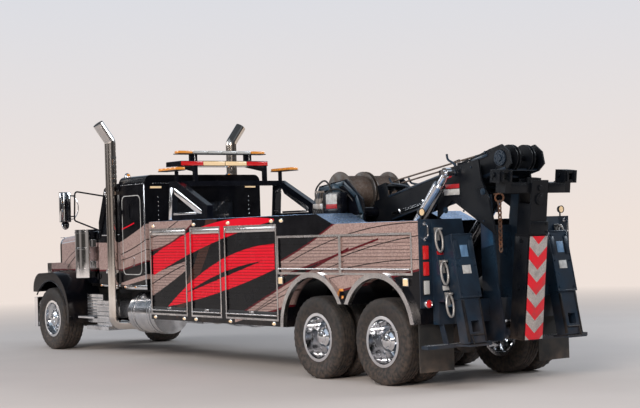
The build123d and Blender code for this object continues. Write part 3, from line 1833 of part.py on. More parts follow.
with BuildPart() as boom:
    boom_block((0, boom_length), boom_up, (-boom_half, boom_half))
    cross_rod(*boom_pivot, (-boom_half, boom_half), boom_nose)
    boom_block((260, boom_length + 1), boom_bore_up, (-boom_bore_half, boom_bore_half), Mode.SUBTRACT)
    cross_rod(*boom_pivot, (-boom_half - 1, boom_half + 1), boom_pin_radius + running_fit, Mode.SUBTRACT)
    for name, side in sides:
        plate(cheek_points, (side * cheek_outer, side * (cheek_outer - cheek_plate)))
        for along in (1640, boom_length - 60):
            boom_block(
                (along, along + 40),
                (boom_up[0] + 30, boom_up[1] - 20),
                (side * (cheek_outer - 1), side * (boom_half - 1)),
            )
        boom_block(guide_along, (boom_up[1] - 1, guide_top), (side * 150, side * 175))
        for along, height in ((230, 95), (1560, 120)):
            boom_block(
                (along, along + 26),
                (boom_up[1] - 1, boom_up[1] + height),
                (side * 60, side * 86),
            )
            boom_block(
                (along, along + 110),
                (boom_up[1] + height - 26, boom_up[1] + height),
                (side * 60, side * 86),
            )
    for along in roller_alongs:
        cross_rod(*boom_point(along, roller_up), (-151, 151), guide_radius)
save(boom, "boom")


# Boom extension: the inner box, the head's two plates and the pins of its sheaves.
inner_up = (boom_bore_up[0] + boom_slide_gap, boom_bore_up[1] - boom_slide_gap)
inner_half = boom_bore_half - boom_slide_gap
inner_wall = 14
head_start = boom_length + 12
head_half = head_width / 2
head_plate = 22
sheave_along = head_start + 540
sheave_up = 22
sheave_y = 120
sheave_pin_radius = 32
sheave_spin = boom_point(sheave_along, sheave_up)
head_up = (-150, 150)

with BuildPart() as boom_extension:
    boom_block((640, head_start + 1), inner_up, (-inner_half, inner_half))
    boom_block(
        (639, head_start - 20),
        (inner_up[0] + inner_wall, inner_up[1] - inner_wall),
        (-inner_half + inner_wall, inner_half - inner_wall),
        Mode.SUBTRACT,
    )
    boom_block((head_start, head_start + 30), head_up, (-head_half, head_half))
    for name, side in sides:
        plate(
            [
                boom_point(head_start, head_up[0]),
                boom_point(head_start, head_up[1]),
                boom_point(head_start + 380, head_up[1] + 25),
                boom_point(head_start + 600, head_up[1] + 25),
                boom_point(head_start + head_length, head_up[1] - 90),
                boom_point(head_start + head_length, head_up[0] + 60),
                boom_point(head_start + head_length - 120, head_up[0]),
            ],
            (side * head_half, side * (head_half - head_plate)),
        )
        sheave_middle = (sheave_spin[0], side * sheave_y, sheave_spin[1])
        with BuildSketch(Plane(origin=sheave_middle, x_dir=(0, 1, 0), z_dir=(1, 0, 0))) as groove:
            with BuildLine():
                half = sheave_width / 2
                Polyline(
                    (-half, 0),
                    (half, 0),
                    (half, sheave_radius),
                    (half - groove_lip, sheave_radius),
                    (rope_radius + 2, sheave_radius - groove_depth),
                    (-rope_radius - 2, sheave_radius - groove_depth),
                    (-half + groove_lip, sheave_radius),
                    (-half, sheave_radius),
                    close=True,
                )
            make_face()
        revolve(groove.sketch, axis=Axis((sheave_spin[0], 0, sheave_spin[1]), (0, 1, 0)))
    cross_rod(*boom_point(sheave_along, sheave_up), (-head_half, head_half), sheave_pin_radius)
save(boom_extension, "boom_extension")


# Winch ropes: straight from the rear roller of the guide to each sheave, and touching both from above.
rope_seat = 0.3
roller_turn = guide_radius + rope_radius + rope_seat
sheave_turn = sheave_radius - groove_depth + rope_radius + rope_seat
rope_span = hypot(sheave_along - roller_alongs[1], sheave_up - roller_up)
rope_slope = atan2(sheave_up - roller_up, sheave_along - roller_alongs[1])
rope_slope += asin((sheave_turn - roller_turn) / rope_span)

with BuildPart() as winch_ropes:
    for name, side in sides:
        off = (-sin(rope_slope), cos(rope_slope))
        start = boom_point(roller_alongs[1] + roller_turn * off[0], roller_up + roller_turn * off[1])
        end = boom_point(sheave_along + sheave_turn * off[0], sheave_up + sheave_turn * off[1])
        rod((start[0], side * sheave_y, start[1]), (end[0], side * sheave_y, end[1]), rope_radius)
save(winch_ropes, "winch_ropes")


# Boom lift cylinders: barrels on base pins beside the boom, and rods whose eyes stand beside the cheeks.
lift_run = hypot(lift_eye[0] - lift_base[0], lift_eye[1] - lift_base[1])
lift_unit = ((lift_eye[0] - lift_base[0]) / lift_run, (lift_eye[1] - lift_base[1]) / lift_run)
lift_lug = 70


def lift_point(along):
    return (lift_base[0] + along * lift_unit[0], lift_base[1] + along * lift_unit[1])


with BuildPart() as lift_barrels:
    for name, side in sides:
        y = side * lift_y
        start, end = lift_point(30), lift_point(lift_barrel_length)
        rod((start[0], y, start[1]), (end[0], y, end[1]), lift_barrel_radius)
        cross_rod(*lift_base, (y - lift_lug, y + lift_lug), lift_lug)
        pin_bore = lift_pin_radius + running_fit
        cross_rod(*lift_base, (y - 2 * lift_lug, y + 2 * lift_lug), pin_bore, Mode.SUBTRACT)
        bore_start = lift_point(lift_barrel_length - 1250)
        bore_end = lift_point(lift_barrel_length + 1)
        rod(
            (bore_start[0], y, bore_start[1]),
            (bore_end[0], y, bore_end[1]),
            lift_rod_radius + running_fit,
            Mode.SUBTRACT,
        )
save(lift_barrels, "lift_barrels")

rod_tail = lift_barrel_length - 1200
with BuildPart() as lift_rods:
    for name, side in sides:
        y = side * lift_y
        start, end = lift_point(rod_tail), lift_point(lift_run - 30)
        rod((start[0], y, start[1]), (end[0], y, end[1]), lift_rod_radius)
        cross_rod(*lift_eye, (y - lift_eye_width / 2, y + lift_eye_width / 2), 65)
        cross_rod(*lift_eye, (y + side * 58, side * (cheek_outer + part_gap)), 30)
save(lift_rods, "lift_rods")


# The point that lies up the under-lift from its fold pin and back from it.
def arm_point(up, back):
    a = radians(arm_lean)
    return (fold_pin[0] - up * sin(a) - back * cos(a), fold_pin[1] + up * cos(a) - back * sin(a))


# A box in the stowed under-lift's own directions.
def arm_block(up, back, y, mode=Mode.ADD):
    corners = [(up[0], back[0]), (up[0], back[1]), (up[1], back[1]), (up[1], back[0])]
    plate([arm_point(*corner) for corner in corners], y, mode)


# Under-lift arm: a hollow box that stands folded behind the tail, with the lug that turns on the fold pin.
arm_outer = 295
arm_range = (arm_outer - arm_depth, arm_outer)
arm_up = (-60, 1190)
arm_half = arm_width / 2
lug_radius = 62

with BuildPart() as underlift_arm:
    arm_block(arm_up, arm_range, (-arm_half, arm_half))
    arm_block(
        (140, arm_up[1] + 1),
        (arm_range[0] + arm_wall, arm_range[1] - arm_wall),
        (-arm_half + arm_wall, arm_half - arm_wall),
        Mode.SUBTRACT,
    )
    arm_block((-lug_radius, lug_radius), (0, arm_range[0] + 1), (-arm_half, arm_half))
    cross_rod(*fold_pin, (-arm_half, arm_half), lug_radius)
    cross_rod(*fold_pin, (-arm_half - 1, arm_half + 1), fold_pin_radius + running_fit, Mode.SUBTRACT)
save(underlift_arm, "underlift_arm")


# Stinger: the inner box and the two jaw plates that hold the crossbar's pin.
stinger_gap = 0.4
stinger_half = arm_half - arm_wall - stinger_gap
stinger_range = (arm_range[0] + arm_wall + stinger_gap, arm_range[1] - arm_wall - stinger_gap)
jaw_base = 1560
jaw_top = 1845
jaw_plate = 24
crossbar_up = 1750
crossbar_half = crossbar_size / 2

with BuildPart() as stinger:
    arm_block((200, jaw_base), stinger_range, (-stinger_half, stinger_half))
    arm_block(
        (199, jaw_base - 60),
        (stinger_range[0] + 14, stinger_range[1] - 14),
        (-stinger_half + 14, stinger_half - 14),
        Mode.SUBTRACT,
    )
    for back in (stinger_range[0], stinger_range[1] - jaw_plate):
        arm_block((jaw_base - 1, jaw_top), (back, back + jaw_plate), (-stinger_half, stinger_half))
    front, rear = arm_point(crossbar_up, stinger_range[0] - 14), arm_point(crossbar_up, stinger_range[1] + 20)
    rod((front[0], 0, front[1]), (rear[0], 0, rear[1]), crossbar_pin_radius)
save(stinger, "stinger")


# Crossbar: it swivels on the stinger's pin and carries a fork receiver near each end.
jaw_gap = 5
crossbar_range = (stinger_range[0] + jaw_plate + jaw_gap, stinger_range[1] - jaw_plate - jaw_gap)
receiver_half_hole = 38

with BuildPart() as crossbar:
    arm_block(
        (crossbar_up - crossbar_half, crossbar_up + crossbar_half),
        crossbar_range,
        (-crossbar_width / 2, crossbar_width / 2),
    )
    front, rear = arm_point(crossbar_up, 0), arm_point(crossbar_up, 2 * arm_outer)
    rod((front[0], 0, front[1]), (rear[0], 0, rear[1]), crossbar_pin_radius + running_fit, Mode.SUBTRACT)
    for name, side in sides:
        low = crossbar_up + crossbar_half
        inner_y = crossbar_width / 2 - receiver_width / 2
        receiver_y = (side * inner_y, side * (inner_y + receiver_width))
        arm_block((low - 1, low + receiver_height), crossbar_range, receiver_y)
        middle = side * (inner_y + receiver_width / 2)
        arm_block(
            (low + receiver_height / 2 - receiver_half_hole, low + receiver_height / 2 + receiver_half_hole),
            (crossbar_range[0] - 1, crossbar_range[1] + 1),
            (middle - receiver_half_hole, middle + receiver_half_hole),
            Mode.SUBTRACT,
        )
save(crossbar, "crossbar")
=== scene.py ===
# Heavy recovery truck: finishes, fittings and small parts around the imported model.
# Metres, +X forward, +Y left, +Z up. What both sides share is made on the left and mirrored to the right.
import bmesh
import bpy
import json
from math import atan2, cos, hypot, pi, radians, sin
from mathutils import Matrix, Vector


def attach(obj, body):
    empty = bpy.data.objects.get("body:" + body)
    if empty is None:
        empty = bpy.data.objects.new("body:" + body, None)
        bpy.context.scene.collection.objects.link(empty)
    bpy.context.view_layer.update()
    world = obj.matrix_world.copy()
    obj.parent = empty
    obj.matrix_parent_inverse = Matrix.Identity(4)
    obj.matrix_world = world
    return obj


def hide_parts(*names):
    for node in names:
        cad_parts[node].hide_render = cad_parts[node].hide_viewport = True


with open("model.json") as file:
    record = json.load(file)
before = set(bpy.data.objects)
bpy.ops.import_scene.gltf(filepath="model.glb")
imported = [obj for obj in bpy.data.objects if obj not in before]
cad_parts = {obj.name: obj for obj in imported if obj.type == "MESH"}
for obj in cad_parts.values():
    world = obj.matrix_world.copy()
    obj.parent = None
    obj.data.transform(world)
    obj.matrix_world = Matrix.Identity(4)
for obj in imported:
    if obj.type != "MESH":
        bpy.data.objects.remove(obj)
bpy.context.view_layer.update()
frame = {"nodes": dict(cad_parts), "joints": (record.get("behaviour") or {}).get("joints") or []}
nodes = frame["nodes"]
joints = {joint["name"]: joint for joint in frame["joints"]}
frontX = joints["steer_left"]["pos_m"][0]   # the stripes are laid out back from the front axle
sides = (("left", 1), ("right", -1))
print("frame loaded")


# nodes and links

def startMaterial(name):
    material = bpy.data.materials.new(name)
    material.use_nodes = True
    tree = material.node_tree
    return material, tree, tree.nodes["Principled BSDF"]


def addNode(tree, kind, inputs=None, **settings):
    node = tree.nodes.new(kind)
    for key, value in settings.items():
        setattr(node, key, value)
    for key, value in (inputs or {}).items():
        if isinstance(value, bpy.types.NodeSocket):
            tree.links.new(value, node.inputs[key])
        else:
            node.inputs[key].default_value = value
    return node


def calc(tree, operation, a, b=0.0, c=0.0):
    return addNode(tree, "ShaderNodeMath", {0: a, 1: b, 2: c}, operation=operation).outputs[0]


def mixColour(tree, factor, a, b):
    node = addNode(tree, "ShaderNodeMix", {0: factor}, data_type="RGBA")
    for socket, value in ((6, a), (7, b)):
        if isinstance(value, bpy.types.NodeSocket):
            tree.links.new(value, node.inputs[socket])
        else:
            node.inputs[socket].default_value = (*value, 1)
    return node.outputs[2]


def scaled(colour, share):
    return tuple(share * c for c in colour)


def ramp(tree, value, low, high, start=0.0, end=1.0):
    inputs = {"Value": value, "From Min": low, "From Max": high, "To Min": start, "To Max": end}
    return addNode(tree, "ShaderNodeMapRange", inputs).outputs["Result"]


def objectPoint(tree):
    return addNode(tree, "ShaderNodeTexCoord").outputs["Object"]


def splitPoint(tree, point):
    return addNode(tree, "ShaderNodeSeparateXYZ", {0: point}).outputs


def noise(tree, point, scale, detail=3.0):
    inputs = {"Vector": point, "Scale": scale, "Detail": detail}
    return addNode(tree, "ShaderNodeTexNoise", inputs).outputs["Fac"]


def cells(tree, point, scale, **inputs):
    inputs = {"Vector": point, "Scale": scale, **inputs}
    return addNode(tree, "ShaderNodeTexVoronoi", inputs).outputs["Distance"]


def waves(tree, point, scale, distortion=0.0):
    inputs = {"Vector": point, "Scale": scale, "Distortion": distortion}
    return addNode(tree, "ShaderNodeTexWave", inputs, bands_direction="DIAGONAL").outputs["Fac"]


def addBump(tree, shader, height, strength, depth=0.002):
    bump = addNode(tree, "ShaderNodeBump", {"Height": height, "Strength": strength, "Distance": depth})
    tree.links.new(bump.outputs[0], shader.inputs["Normal"])
    return bump


def dress(tree, shader, colour, rough, **even):   # even: values that are the same all over the surface
    tree.links.new(colour, shader.inputs["Base Color"])
    tree.links.new(rough, shader.inputs["Roughness"])
    sockets = {"metal": "Metallic", "coat": "Coat Weight", "coatRough": "Coat Roughness",
               "gloss": "Specular IOR Level"}
    for key, value in even.items():
        shader.inputs[sockets[key]].default_value = value


# one finish: base and shade colours in patches, roughness in a range, fine bump, rounded edges, road dust
plainFinish = {"base": (0.5, 0.5, 0.5), "shade": None, "patch": 6.0, "rough": (0.3, 0.4), "metal": 0.0,
               "coat": 0.0, "coatRough": 0.06, "grain": (60.0, 0.05), "gloss": 0.5, "round": 0.0, "dust": 0.0,
               "dustTop": 1.1, "dustColour": (0.20, 0.145, 0.11), "dustPatch": 4.5, "dustRough": 0.4,
               "shadeShare": 0.78}


def dressSurface(tree, shader, point, colour, look):
    rough = ramp(tree, noise(tree, point, look["patch"], 4.0), 0.3, 0.7, *look["rough"])
    if look["dust"]:
        low = ramp(tree, splitPoint(tree, point)[2], look["dustTop"], 0.1, 0.0, look["dust"])
        mask = calc(tree, "MULTIPLY", low, ramp(tree, noise(tree, point, look["dustPatch"], 5.0), 0.35, 0.68))
        colour = mixColour(tree, mask, colour, look["dustColour"])
        rough = calc(tree, "MULTIPLY_ADD", mask, look["dustRough"], rough)
    dress(tree, shader, colour, rough, **{key: look[key] for key in ("metal", "coat", "coatRough", "gloss")})
    scale, strength = look["grain"]
    bump = addBump(tree, shader, noise(tree, point, scale, 2.0), strength)
    if look["round"]:
        edge = addNode(tree, "ShaderNodeBevel", {"Radius": look["round"]}, samples=3)
        tree.links.new(edge.outputs[0], bump.inputs["Normal"])


def makeFinish(name, **changes):
    look = {**plainFinish, **changes}
    material, tree, shader = startMaterial(name)
    point = objectPoint(tree)
    shade = look["shade"] or scaled(look["base"], look["shadeShare"])
    colour = mixColour(tree, ramp(tree, noise(tree, point, look["patch"], 5.0), 0.35, 0.65), look["base"],
                       shade)
    dressSurface(tree, shader, point, colour, look)
    return material


# stripes over the hood, cab, sleeper and body, laid out by (back from the front axle, up) points
silver = (0.50, 0.355, 0.315)
silverShade = (0.30, 0.205, 0.185)
stripeRed = (0.80, 0.006, 0.024)
edgeRed = (0.115, 0.008, 0.014)
umber = (0.060, 0.026, 0.020)
deepBlack = (0.003, 0.0033, 0.005)
# stripes: colour, front and rear end, lower and upper curve through three points each
stripes = [
    ("silver", (-0.90, 2.37), ((-0.75, 1.35), (0.9, 1.345), (2.38, 1.38)),
     ((-0.75, 2.05), (0.9, 1.84), (2.38, 1.82))),
    ("silver", (2.37, 3.56), ((2.38, 1.38), (2.8, 1.45), (3.26, 1.53)),
     ((2.38, 1.82), (2.8, 1.95), (3.24, 2.10))),
    ("silver", (2.30, 3.56), ((2.34, 1.10), (2.8, 1.17), (3.25, 1.24)),
     ((2.34, 1.16), (2.8, 1.24), (3.25, 1.31))),
    ("silver", (3.56, 4.86), ((3.54, 1.68), (4.10, 1.765), (4.84, 2.05)),
     ((3.5, 2.3), (4.2, 2.3), (4.9, 2.3))),
    ("silver", (3.56, 4.62), ((3.57, 0.97), (4.2, 1.20), (4.57, 1.35)),
     ((3.59, 1.30), (4.2, 1.43), (4.58, 1.50))),
    (umber, (4.35, 5.60), ((4.40, 0.70), (4.97, 1.26), (5.50, 2.02)),
     ((4.30, 0.86), (4.84, 1.42), (5.30, 2.20))),
    (stripeRed, (3.67, 6.98), ((3.68, 1.30), (5.1, 1.70), (6.95, 2.045)),
     ((3.68, 1.60), (5.1, 2.00), (6.95, 2.075))),
    (stripeRed, (4.10, 6.95), ((4.12, 0.84), (5.4, 1.04), (6.95, 1.40)),
     ((4.12, 0.86), (5.4, 1.46), (6.95, 1.74))),
    (deepBlack, (4.60, 6.60), ((4.70, 1.06), (5.6, 1.27), (6.60, 1.50)),
     ((4.70, 1.07), (5.6, 1.34), (6.60, 1.505))),
    ("silver", (5.95, 9.99), ((5.95, 0.66), (7.6, 0.99), (9.90, 1.40)),
     ((5.90, 0.70), (7.53, 1.30), (8.99, 1.77))),
    ("silver", (8.99, 9.99), ((8.9, 1.27), (9.4, 1.36), (9.99, 1.42)), ((8.9, 2.3), (9.4, 2.3), (9.99, 2.3))),
    ("silver", (7.10, 9.99), ((7.10, 1.31), (7.73, 1.45), (9.30, 1.80)),
     ((7.15, 1.52), (7.88, 1.78), (8.34, 1.975))),
]
# thin lines: colour, front and rear end, middle curve through three points, half width
stripeLines = [
    (edgeRed, (2.38, 3.56), ((2.40, 1.37), (2.8, 1.44), (3.26, 1.52)), 0.012),
    (stripeRed, (2.42, 2.83), ((2.42, 2.02), (2.62, 2.06), (2.83, 2.11)), 0.010),
    (deepBlack, (2.37, 3.56), ((2.38, 1.62), (2.8, 1.72), (3.24, 1.86)), 0.008),
    (deepBlack, (2.37, 3.56), ((2.38, 1.52), (2.8, 1.60), (3.24, 1.70)), 0.006),
    (deepBlack, (3.56, 4.60), ((3.6, 1.86), (4.0, 1.95), (4.5, 2.12)), 0.007),
    (edgeRed, (3.56, 4.84), ((3.54, 1.67), (4.10, 1.755), (4.84, 2.04)), 0.013),
    (deepBlack, (3.56, 4.60), ((3.6, 1.16), (4.1, 1.32), (4.57, 1.45)), 0.008),
    (edgeRed, (6.0, 8.6), ((5.90, 0.71), (7.53, 1.315), (8.99, 1.785)), 0.013),
    (edgeRed, (6.6, 9.99), ((5.95, 0.65), (7.6, 0.98), (9.90, 1.39)), 0.014),
    (edgeRed, (7.10, 8.4), ((7.15, 1.53), (7.88, 1.79), (8.34, 1.985)), 0.012),
    (edgeRed, (7.2, 9.2), ((7.10, 1.305), (7.73, 1.445), (9.30, 1.795)), 0.014),
    (deepBlack, (7.3, 9.99), ((7.2, 1.46), (8.3, 1.78), (9.6, 1.95)), 0.006),
    (deepBlack, (8.4, 9.99), ((8.5, 1.57), (9.1, 1.69), (9.85, 1.79)), 0.006),
    (deepBlack, (8.4, 9.99), ((8.57, 1.42), (9.2, 1.49), (9.85, 1.52)), 0.006),
    (deepBlack, (6.3, 8.6), ((6.4, 0.80), (7.4, 1.12), (8.56, 1.34)), 0.006),
    (deepBlack, (6.3, 8.5), ((6.3, 0.77), (7.4, 1.20), (8.40, 1.48)), 0.005),
    (deepBlack, (-0.7, 0.9), ((-0.64, 1.33), (-0.17, 1.57), (0.7, 1.80)), 0.010),
    (deepBlack, (-0.75, 0.9), ((-0.72, 1.45), (-0.1, 1.70), (0.7, 1.86)), 0.006),
    (edgeRed, (-0.75, 2.37), ((-0.75, 1.355), (0.9, 1.35), (2.38, 1.37)), 0.014),
]
stripeLook = {"edge": 0.0025, "leafScale": 48.0, "bodyStart": (3.55, 3.58), "innerEdge": (0.40, 1.12),
              "sideFade": 0.06, "slatFloor": 0.735, "jointColour": (0.002, 0.002, 0.0025)}


def curveThrough(tree, back, points):
    (x0, z0), (x1, z1), (x2, z2) = points
    bend = ((z2 - z0) / (x2 - x0) - (z1 - z0) / (x1 - x0)) / (x2 - x1)
    slope = (z1 - z0) / (x1 - x0) - bend * (x0 + x1)
    level = z0 - slope * x0 - bend * x0 * x0
    return calc(tree, "MULTIPLY_ADD", calc(tree, "MULTIPLY_ADD", back, bend, slope), back, level)


def within(tree, value, low, high):
    soft = stripeLook["edge"]
    above = ramp(tree, calc(tree, "SUBTRACT", value, low), -soft, soft)
    below = ramp(tree, calc(tree, "SUBTRACT", high, value), -soft, soft)
    return calc(tree, "MULTIPLY", above, below)


def stripePaint(name, slats=0.0, **changes):   # slats: the pitch of the dark joints between shutter slats
    look = {**plainFinish, **changes}
    material, tree, shader = startMaterial(name)
    point = objectPoint(tree)
    x, y, up = splitPoint(tree, point)
    back = calc(tree, "SUBTRACT", frontX, x)
    leaf = mixColour(tree, ramp(tree, cells(tree, point, stripeLook["leafScale"]), 0.15, 0.75), silver,
                     silverShade)
    innerEdge = ramp(tree, back, *stripeLook["bodyStart"], *stripeLook["innerEdge"])
    outward = calc(tree, "SUBTRACT", calc(tree, "ABSOLUTE", y), innerEdge)
    sideOnly = ramp(tree, outward, 0.0, stripeLook["sideFade"])
    colour = mixColour(tree, ramp(tree, noise(tree, point, 3.0), 0.3, 0.7), look["base"], look["shade"])
    bands = []
    for paint, span, low, high in stripes:
        edges = curveThrough(tree, back, low), curveThrough(tree, back, high)
        bands.append((leaf if paint == "silver" else paint, span, edges))
    for paint, span, line, half in stripeLines:
        middle = curveThrough(tree, back, line)
        bands.append((paint, span, (calc(tree, "SUBTRACT", middle, half), calc(tree, "ADD", middle, half))))
    for paint, span, edges in bands:
        mask = calc(tree, "MULTIPLY", within(tree, back, *span), within(tree, up, *edges))
        colour = mixColour(tree, calc(tree, "MULTIPLY", mask, sideOnly), colour, paint)
    if slats:
        above = calc(tree, "SUBTRACT", up, stripeLook["slatFloor"])
        phase = calc(tree, "FRACT", calc(tree, "DIVIDE", above, slats))
        joint = ramp(tree, calc(tree, "ABSOLUTE", calc(tree, "SUBTRACT", phase, 0.5)), 0.36, 0.47, 0.0, 0.72)
        colour = mixColour(tree, joint, colour, stripeLook["jointColour"])
    dressSurface(tree, shader, point, colour, look)
    return material


finishLooks = {
    "blackPaint": dict(base=(0.003, 0.0035, 0.006), shade=(0.005, 0.006, 0.010), rough=(0.12, 0.2), coat=0.22,
                       gloss=0.2, grain=(220.0, 0.015), round=0.006, dust=0.35),
    "tailPaint": dict(base=(0.014, 0.031, 0.054), shade=(0.008, 0.014, 0.025), rough=(0.25, 0.4), coat=0.2,
                      gloss=0.3, grain=(160.0, 0.03), round=0.005, dust=0.4, patch=3.0),
    "gearPaint": dict(base=(0.004, 0.0055, 0.0085), shade=(0.008, 0.009, 0.011), rough=(0.25, 0.42),
                      gloss=0.16, grain=(120.0, 0.08), round=0.004, dust=0.45, patch=5.0),
    "framePaint": dict(base=(0.014, 0.014, 0.015), shade=(0.028, 0.022, 0.018), rough=(0.4, 0.6),
                       grain=(90.0, 0.12), round=0.004, dust=0.8, patch=5.0),
    "bluePaint": dict(base=(0.022, 0.070, 0.140), shade=(0.012, 0.035, 0.080), rough=(0.25, 0.4), coat=0.3,
                      dust=0.3, dustTop=3.0),
    "steelBlue": dict(base=(0.024, 0.052, 0.078), shade=(0.014, 0.028, 0.044), rough=(0.3, 0.45), coat=0.2,
                      gloss=0.3, dust=0.3),
    # the engine's cast metal; the same dark finish also serves as painted shade in the stack's slots and
    # mouth
    "castMetalAndHoleShade": dict(base=(0.05, 0.05, 0.05), shade=(0.03, 0.026, 0.022), rough=(0.5, 0.7),
                      grain=(70.0, 0.3), dust=0.5),
    "chrome": dict(base=(0.82, 0.83, 0.85), shade=(0.76, 0.77, 0.80), rough=(0.03, 0.08), metal=1.0,
                   grain=(14.0, 0.006), round=0.003),
    "stackChrome": dict(base=(0.78, 0.76, 0.74), shade=(0.62, 0.55, 0.48), rough=(0.07, 0.14), metal=1.0,
                        grain=(14.0, 0.006), patch=1.5),
    "wheelChrome": dict(base=(0.83, 0.84, 0.86), shade=(0.72, 0.73, 0.75), rough=(0.05, 0.12), metal=1.0,
                        grain=(30.0, 0.01), round=0.003, dust=0.12),
    "mirrorGlass": dict(base=(0.70, 0.74, 0.76), shade=(0.62, 0.66, 0.69), rough=(0.02, 0.04), metal=1.0,
                        grain=(5.0, 0.002)),
    "polishedAlloy": dict(base=(0.74, 0.75, 0.77), shade=(0.62, 0.63, 0.66), rough=(0.12, 0.22), metal=1.0,
                          grain=(90.0, 0.01), round=0.003, dust=0.35),
    "frameAlloy": dict(base=(0.72, 0.70, 0.69), shade=(0.58, 0.55, 0.54), rough=(0.18, 0.3), metal=1.0,
                       grain=(140.0, 0.02), dust=0.25),
    "bareSteel": dict(base=(0.42, 0.41, 0.40), shade=(0.26, 0.22, 0.19), rough=(0.3, 0.5), metal=0.9,
                      grain=(120.0, 0.1), patch=9.0),
    "rustySteel": dict(base=(0.13, 0.09, 0.07), shade=(0.20, 0.075, 0.030), rough=(0.6, 0.85), metal=0.3,
                       grain=(150.0, 0.4), patch=14.0),
    "galvanised": dict(base=(0.46, 0.46, 0.45), shade=(0.33, 0.31, 0.29), rough=(0.35, 0.5), metal=0.6,
                       grain=(80.0, 0.1), patch=12.0),
    "drumSteel": dict(base=(0.16, 0.155, 0.15), shade=(0.10, 0.075, 0.06), rough=(0.35, 0.5), metal=0.7,
                      grain=(120.0, 0.15), patch=10.0),
    "seatCloth": dict(base=(0.045, 0.043, 0.042), rough=(0.8, 0.95), grain=(400.0, 0.5)),
    "darkPlastic": dict(base=(0.016, 0.016, 0.017), rough=(0.45, 0.6), grain=(300.0, 0.15), round=0.003),
    "hoseRubber": dict(base=(0.012, 0.012, 0.012), shade=(0.022, 0.020, 0.018), rough=(0.45, 0.65),
                       grain=(200.0, 0.1)),
    "flapRubber": dict(base=(0.020, 0.020, 0.020), shade=(0.032, 0.030, 0.028), rough=(0.6, 0.75),
                       grain=(60.0, 0.1), dust=0.9, dustTop=0.5),
    "labelWhite": dict(base=(0.62, 0.62, 0.60), shade=(0.45, 0.44, 0.42), rough=(0.4, 0.55), patch=20.0),
    "labelRed": dict(base=(0.50, 0.014, 0.020), shade=(0.36, 0.010, 0.014), rough=(0.35, 0.5), patch=16.0),
    "labelBlue": dict(base=(0.16, 0.30, 0.48), shade=(0.10, 0.20, 0.34), rough=(0.35, 0.5), patch=16.0),
}
finishes = {name: makeFinish(name, **look) for name, look in finishLooks.items()}
finishes["sidePaint"] = stripePaint(
    "sidePaint", base=(0.003, 0.0032, 0.0048), shade=(0.0045, 0.005, 0.0075), rough=(0.14, 0.24), coat=0.15,
    gloss=0.15, grain=(220.0, 0.015), round=0.005, dust=0.35, dustTop=0.9)
finishes["slatPaint"] = stripePaint(
    "slatPaint", slats=0.0413, base=(0.006, 0.0065, 0.008), shade=(0.009, 0.009, 0.011), rough=(0.2, 0.3),
    gloss=0.2, grain=(220.0, 0.015), dust=0.3, dustTop=0.9)
print("paints mixed")


# finishes with a pattern of their own

def makeGlass(name, tint, rough):
    material, tree, shader = startMaterial(name)
    smear = ramp(tree, noise(tree, objectPoint(tree), 5.0, 4.0), 0.4, 0.7)
    smeared = tuple(c * 1.7 + 0.006 for c in tint)
    dress(tree, shader, mixColour(tree, smear, tint, smeared),
          ramp(tree, smear, 0.0, 1.0, rough, rough + 0.08), coat=0.4)
    return material


lensLook = {"ribScale": 26.0, "ribShade": 0.55, "rough": (0.10, 0.22), "bump": 0.25, "coat": 0.5}


def makeLens(name, colour, glow):
    material, tree, shader = startMaterial(name)
    point = objectPoint(tree)
    ribs = waves(tree, point, lensLook["ribScale"])
    shade = mixColour(tree, ribs, colour, scaled(colour, lensLook["ribShade"]))
    dress(tree, shader, shade, ramp(tree, noise(tree, point, 20.0), 0.3, 0.7, *lensLook["rough"]),
          coat=lensLook["coat"])
    addBump(tree, shader, ribs, lensLook["bump"])
    shader.inputs["Emission Color"].default_value = (*colour, 1)
    shader.inputs["Emission Strength"].default_value = glow
    return material


tyreFinish = {"clean": (0.014, 0.014, 0.0145), "scuffed": (0.030, 0.027, 0.024), "dust": (0.17, 0.115, 0.085),
              "dustShare": (0.10, 0.55), "rough": (0.62, 0.85), "grain": (180.0, 0.15)}


def makeTyreRubber(name):
    look = tyreFinish
    material, tree, shader = startMaterial(name)
    point = objectPoint(tree)
    scuff = noise(tree, point, 9.0, 6.0)
    base = mixColour(tree, ramp(tree, scuff, 0.35, 0.7), look["clean"], look["scuffed"])
    low = ramp(tree, splitPoint(tree, point)[2], 1.1, 0.0, *look["dustShare"])
    dust = calc(tree, "MULTIPLY", ramp(tree, noise(tree, point, 22.0, 5.0), 0.36, 0.7), low)
    dress(tree, shader, mixColour(tree, dust, base, look["dust"]),
          ramp(tree, scuff, 0.3, 0.7, *look["rough"]))
    addBump(tree, shader, noise(tree, point, look["grain"][0]), look["grain"][1], 0.001)
    return material


plateLook = {"scale": 24, "lump": (0.42, 0.28), "bright": (0.9, 0.9, 0.92), "brightShare": 0.35,
             "wornShade": 0.7, "rough": (0.22, 0.38), "metal": 0.9, "bump": (0.9, 0.003)}


def makeTreadPlate(name, base):
    look = plateLook
    material, tree, shader = startMaterial(name)
    point = objectPoint(tree)
    mapping = {"Vector": point, "Rotation": (0, 0, radians(45)), "Scale": (look["scale"],) * 3}
    turned = addNode(tree, "ShaderNodeMapping", mapping).outputs[0]
    raised = ramp(tree, cells(tree, turned, 1.0, Randomness=0.0), *look["lump"])
    wear = noise(tree, point, 7.0, 5.0)
    colour = mixColour(tree, ramp(tree, wear, 0.35, 0.7), base, scaled(base, look["wornShade"]))
    colour = mixColour(tree, calc(tree, "MULTIPLY", raised, look["brightShare"]), colour, look["bright"])
    dress(tree, shader, colour, ramp(tree, wear, 0.3, 0.7, *look["rough"]), metal=look["metal"])
    addBump(tree, shader, raised, *look["bump"])
    return material


# groove: the share of the rope's colour kept in the grooves between strands, a painted shade
ropeLook = {"groove": 0.35, "distortion": 0.6, "grease": (0.10, 0.045, 0.020), "greaseShare": 0.6,
            "rough": (0.4, 0.7), "metal": 0.7, "bump": 0.6}


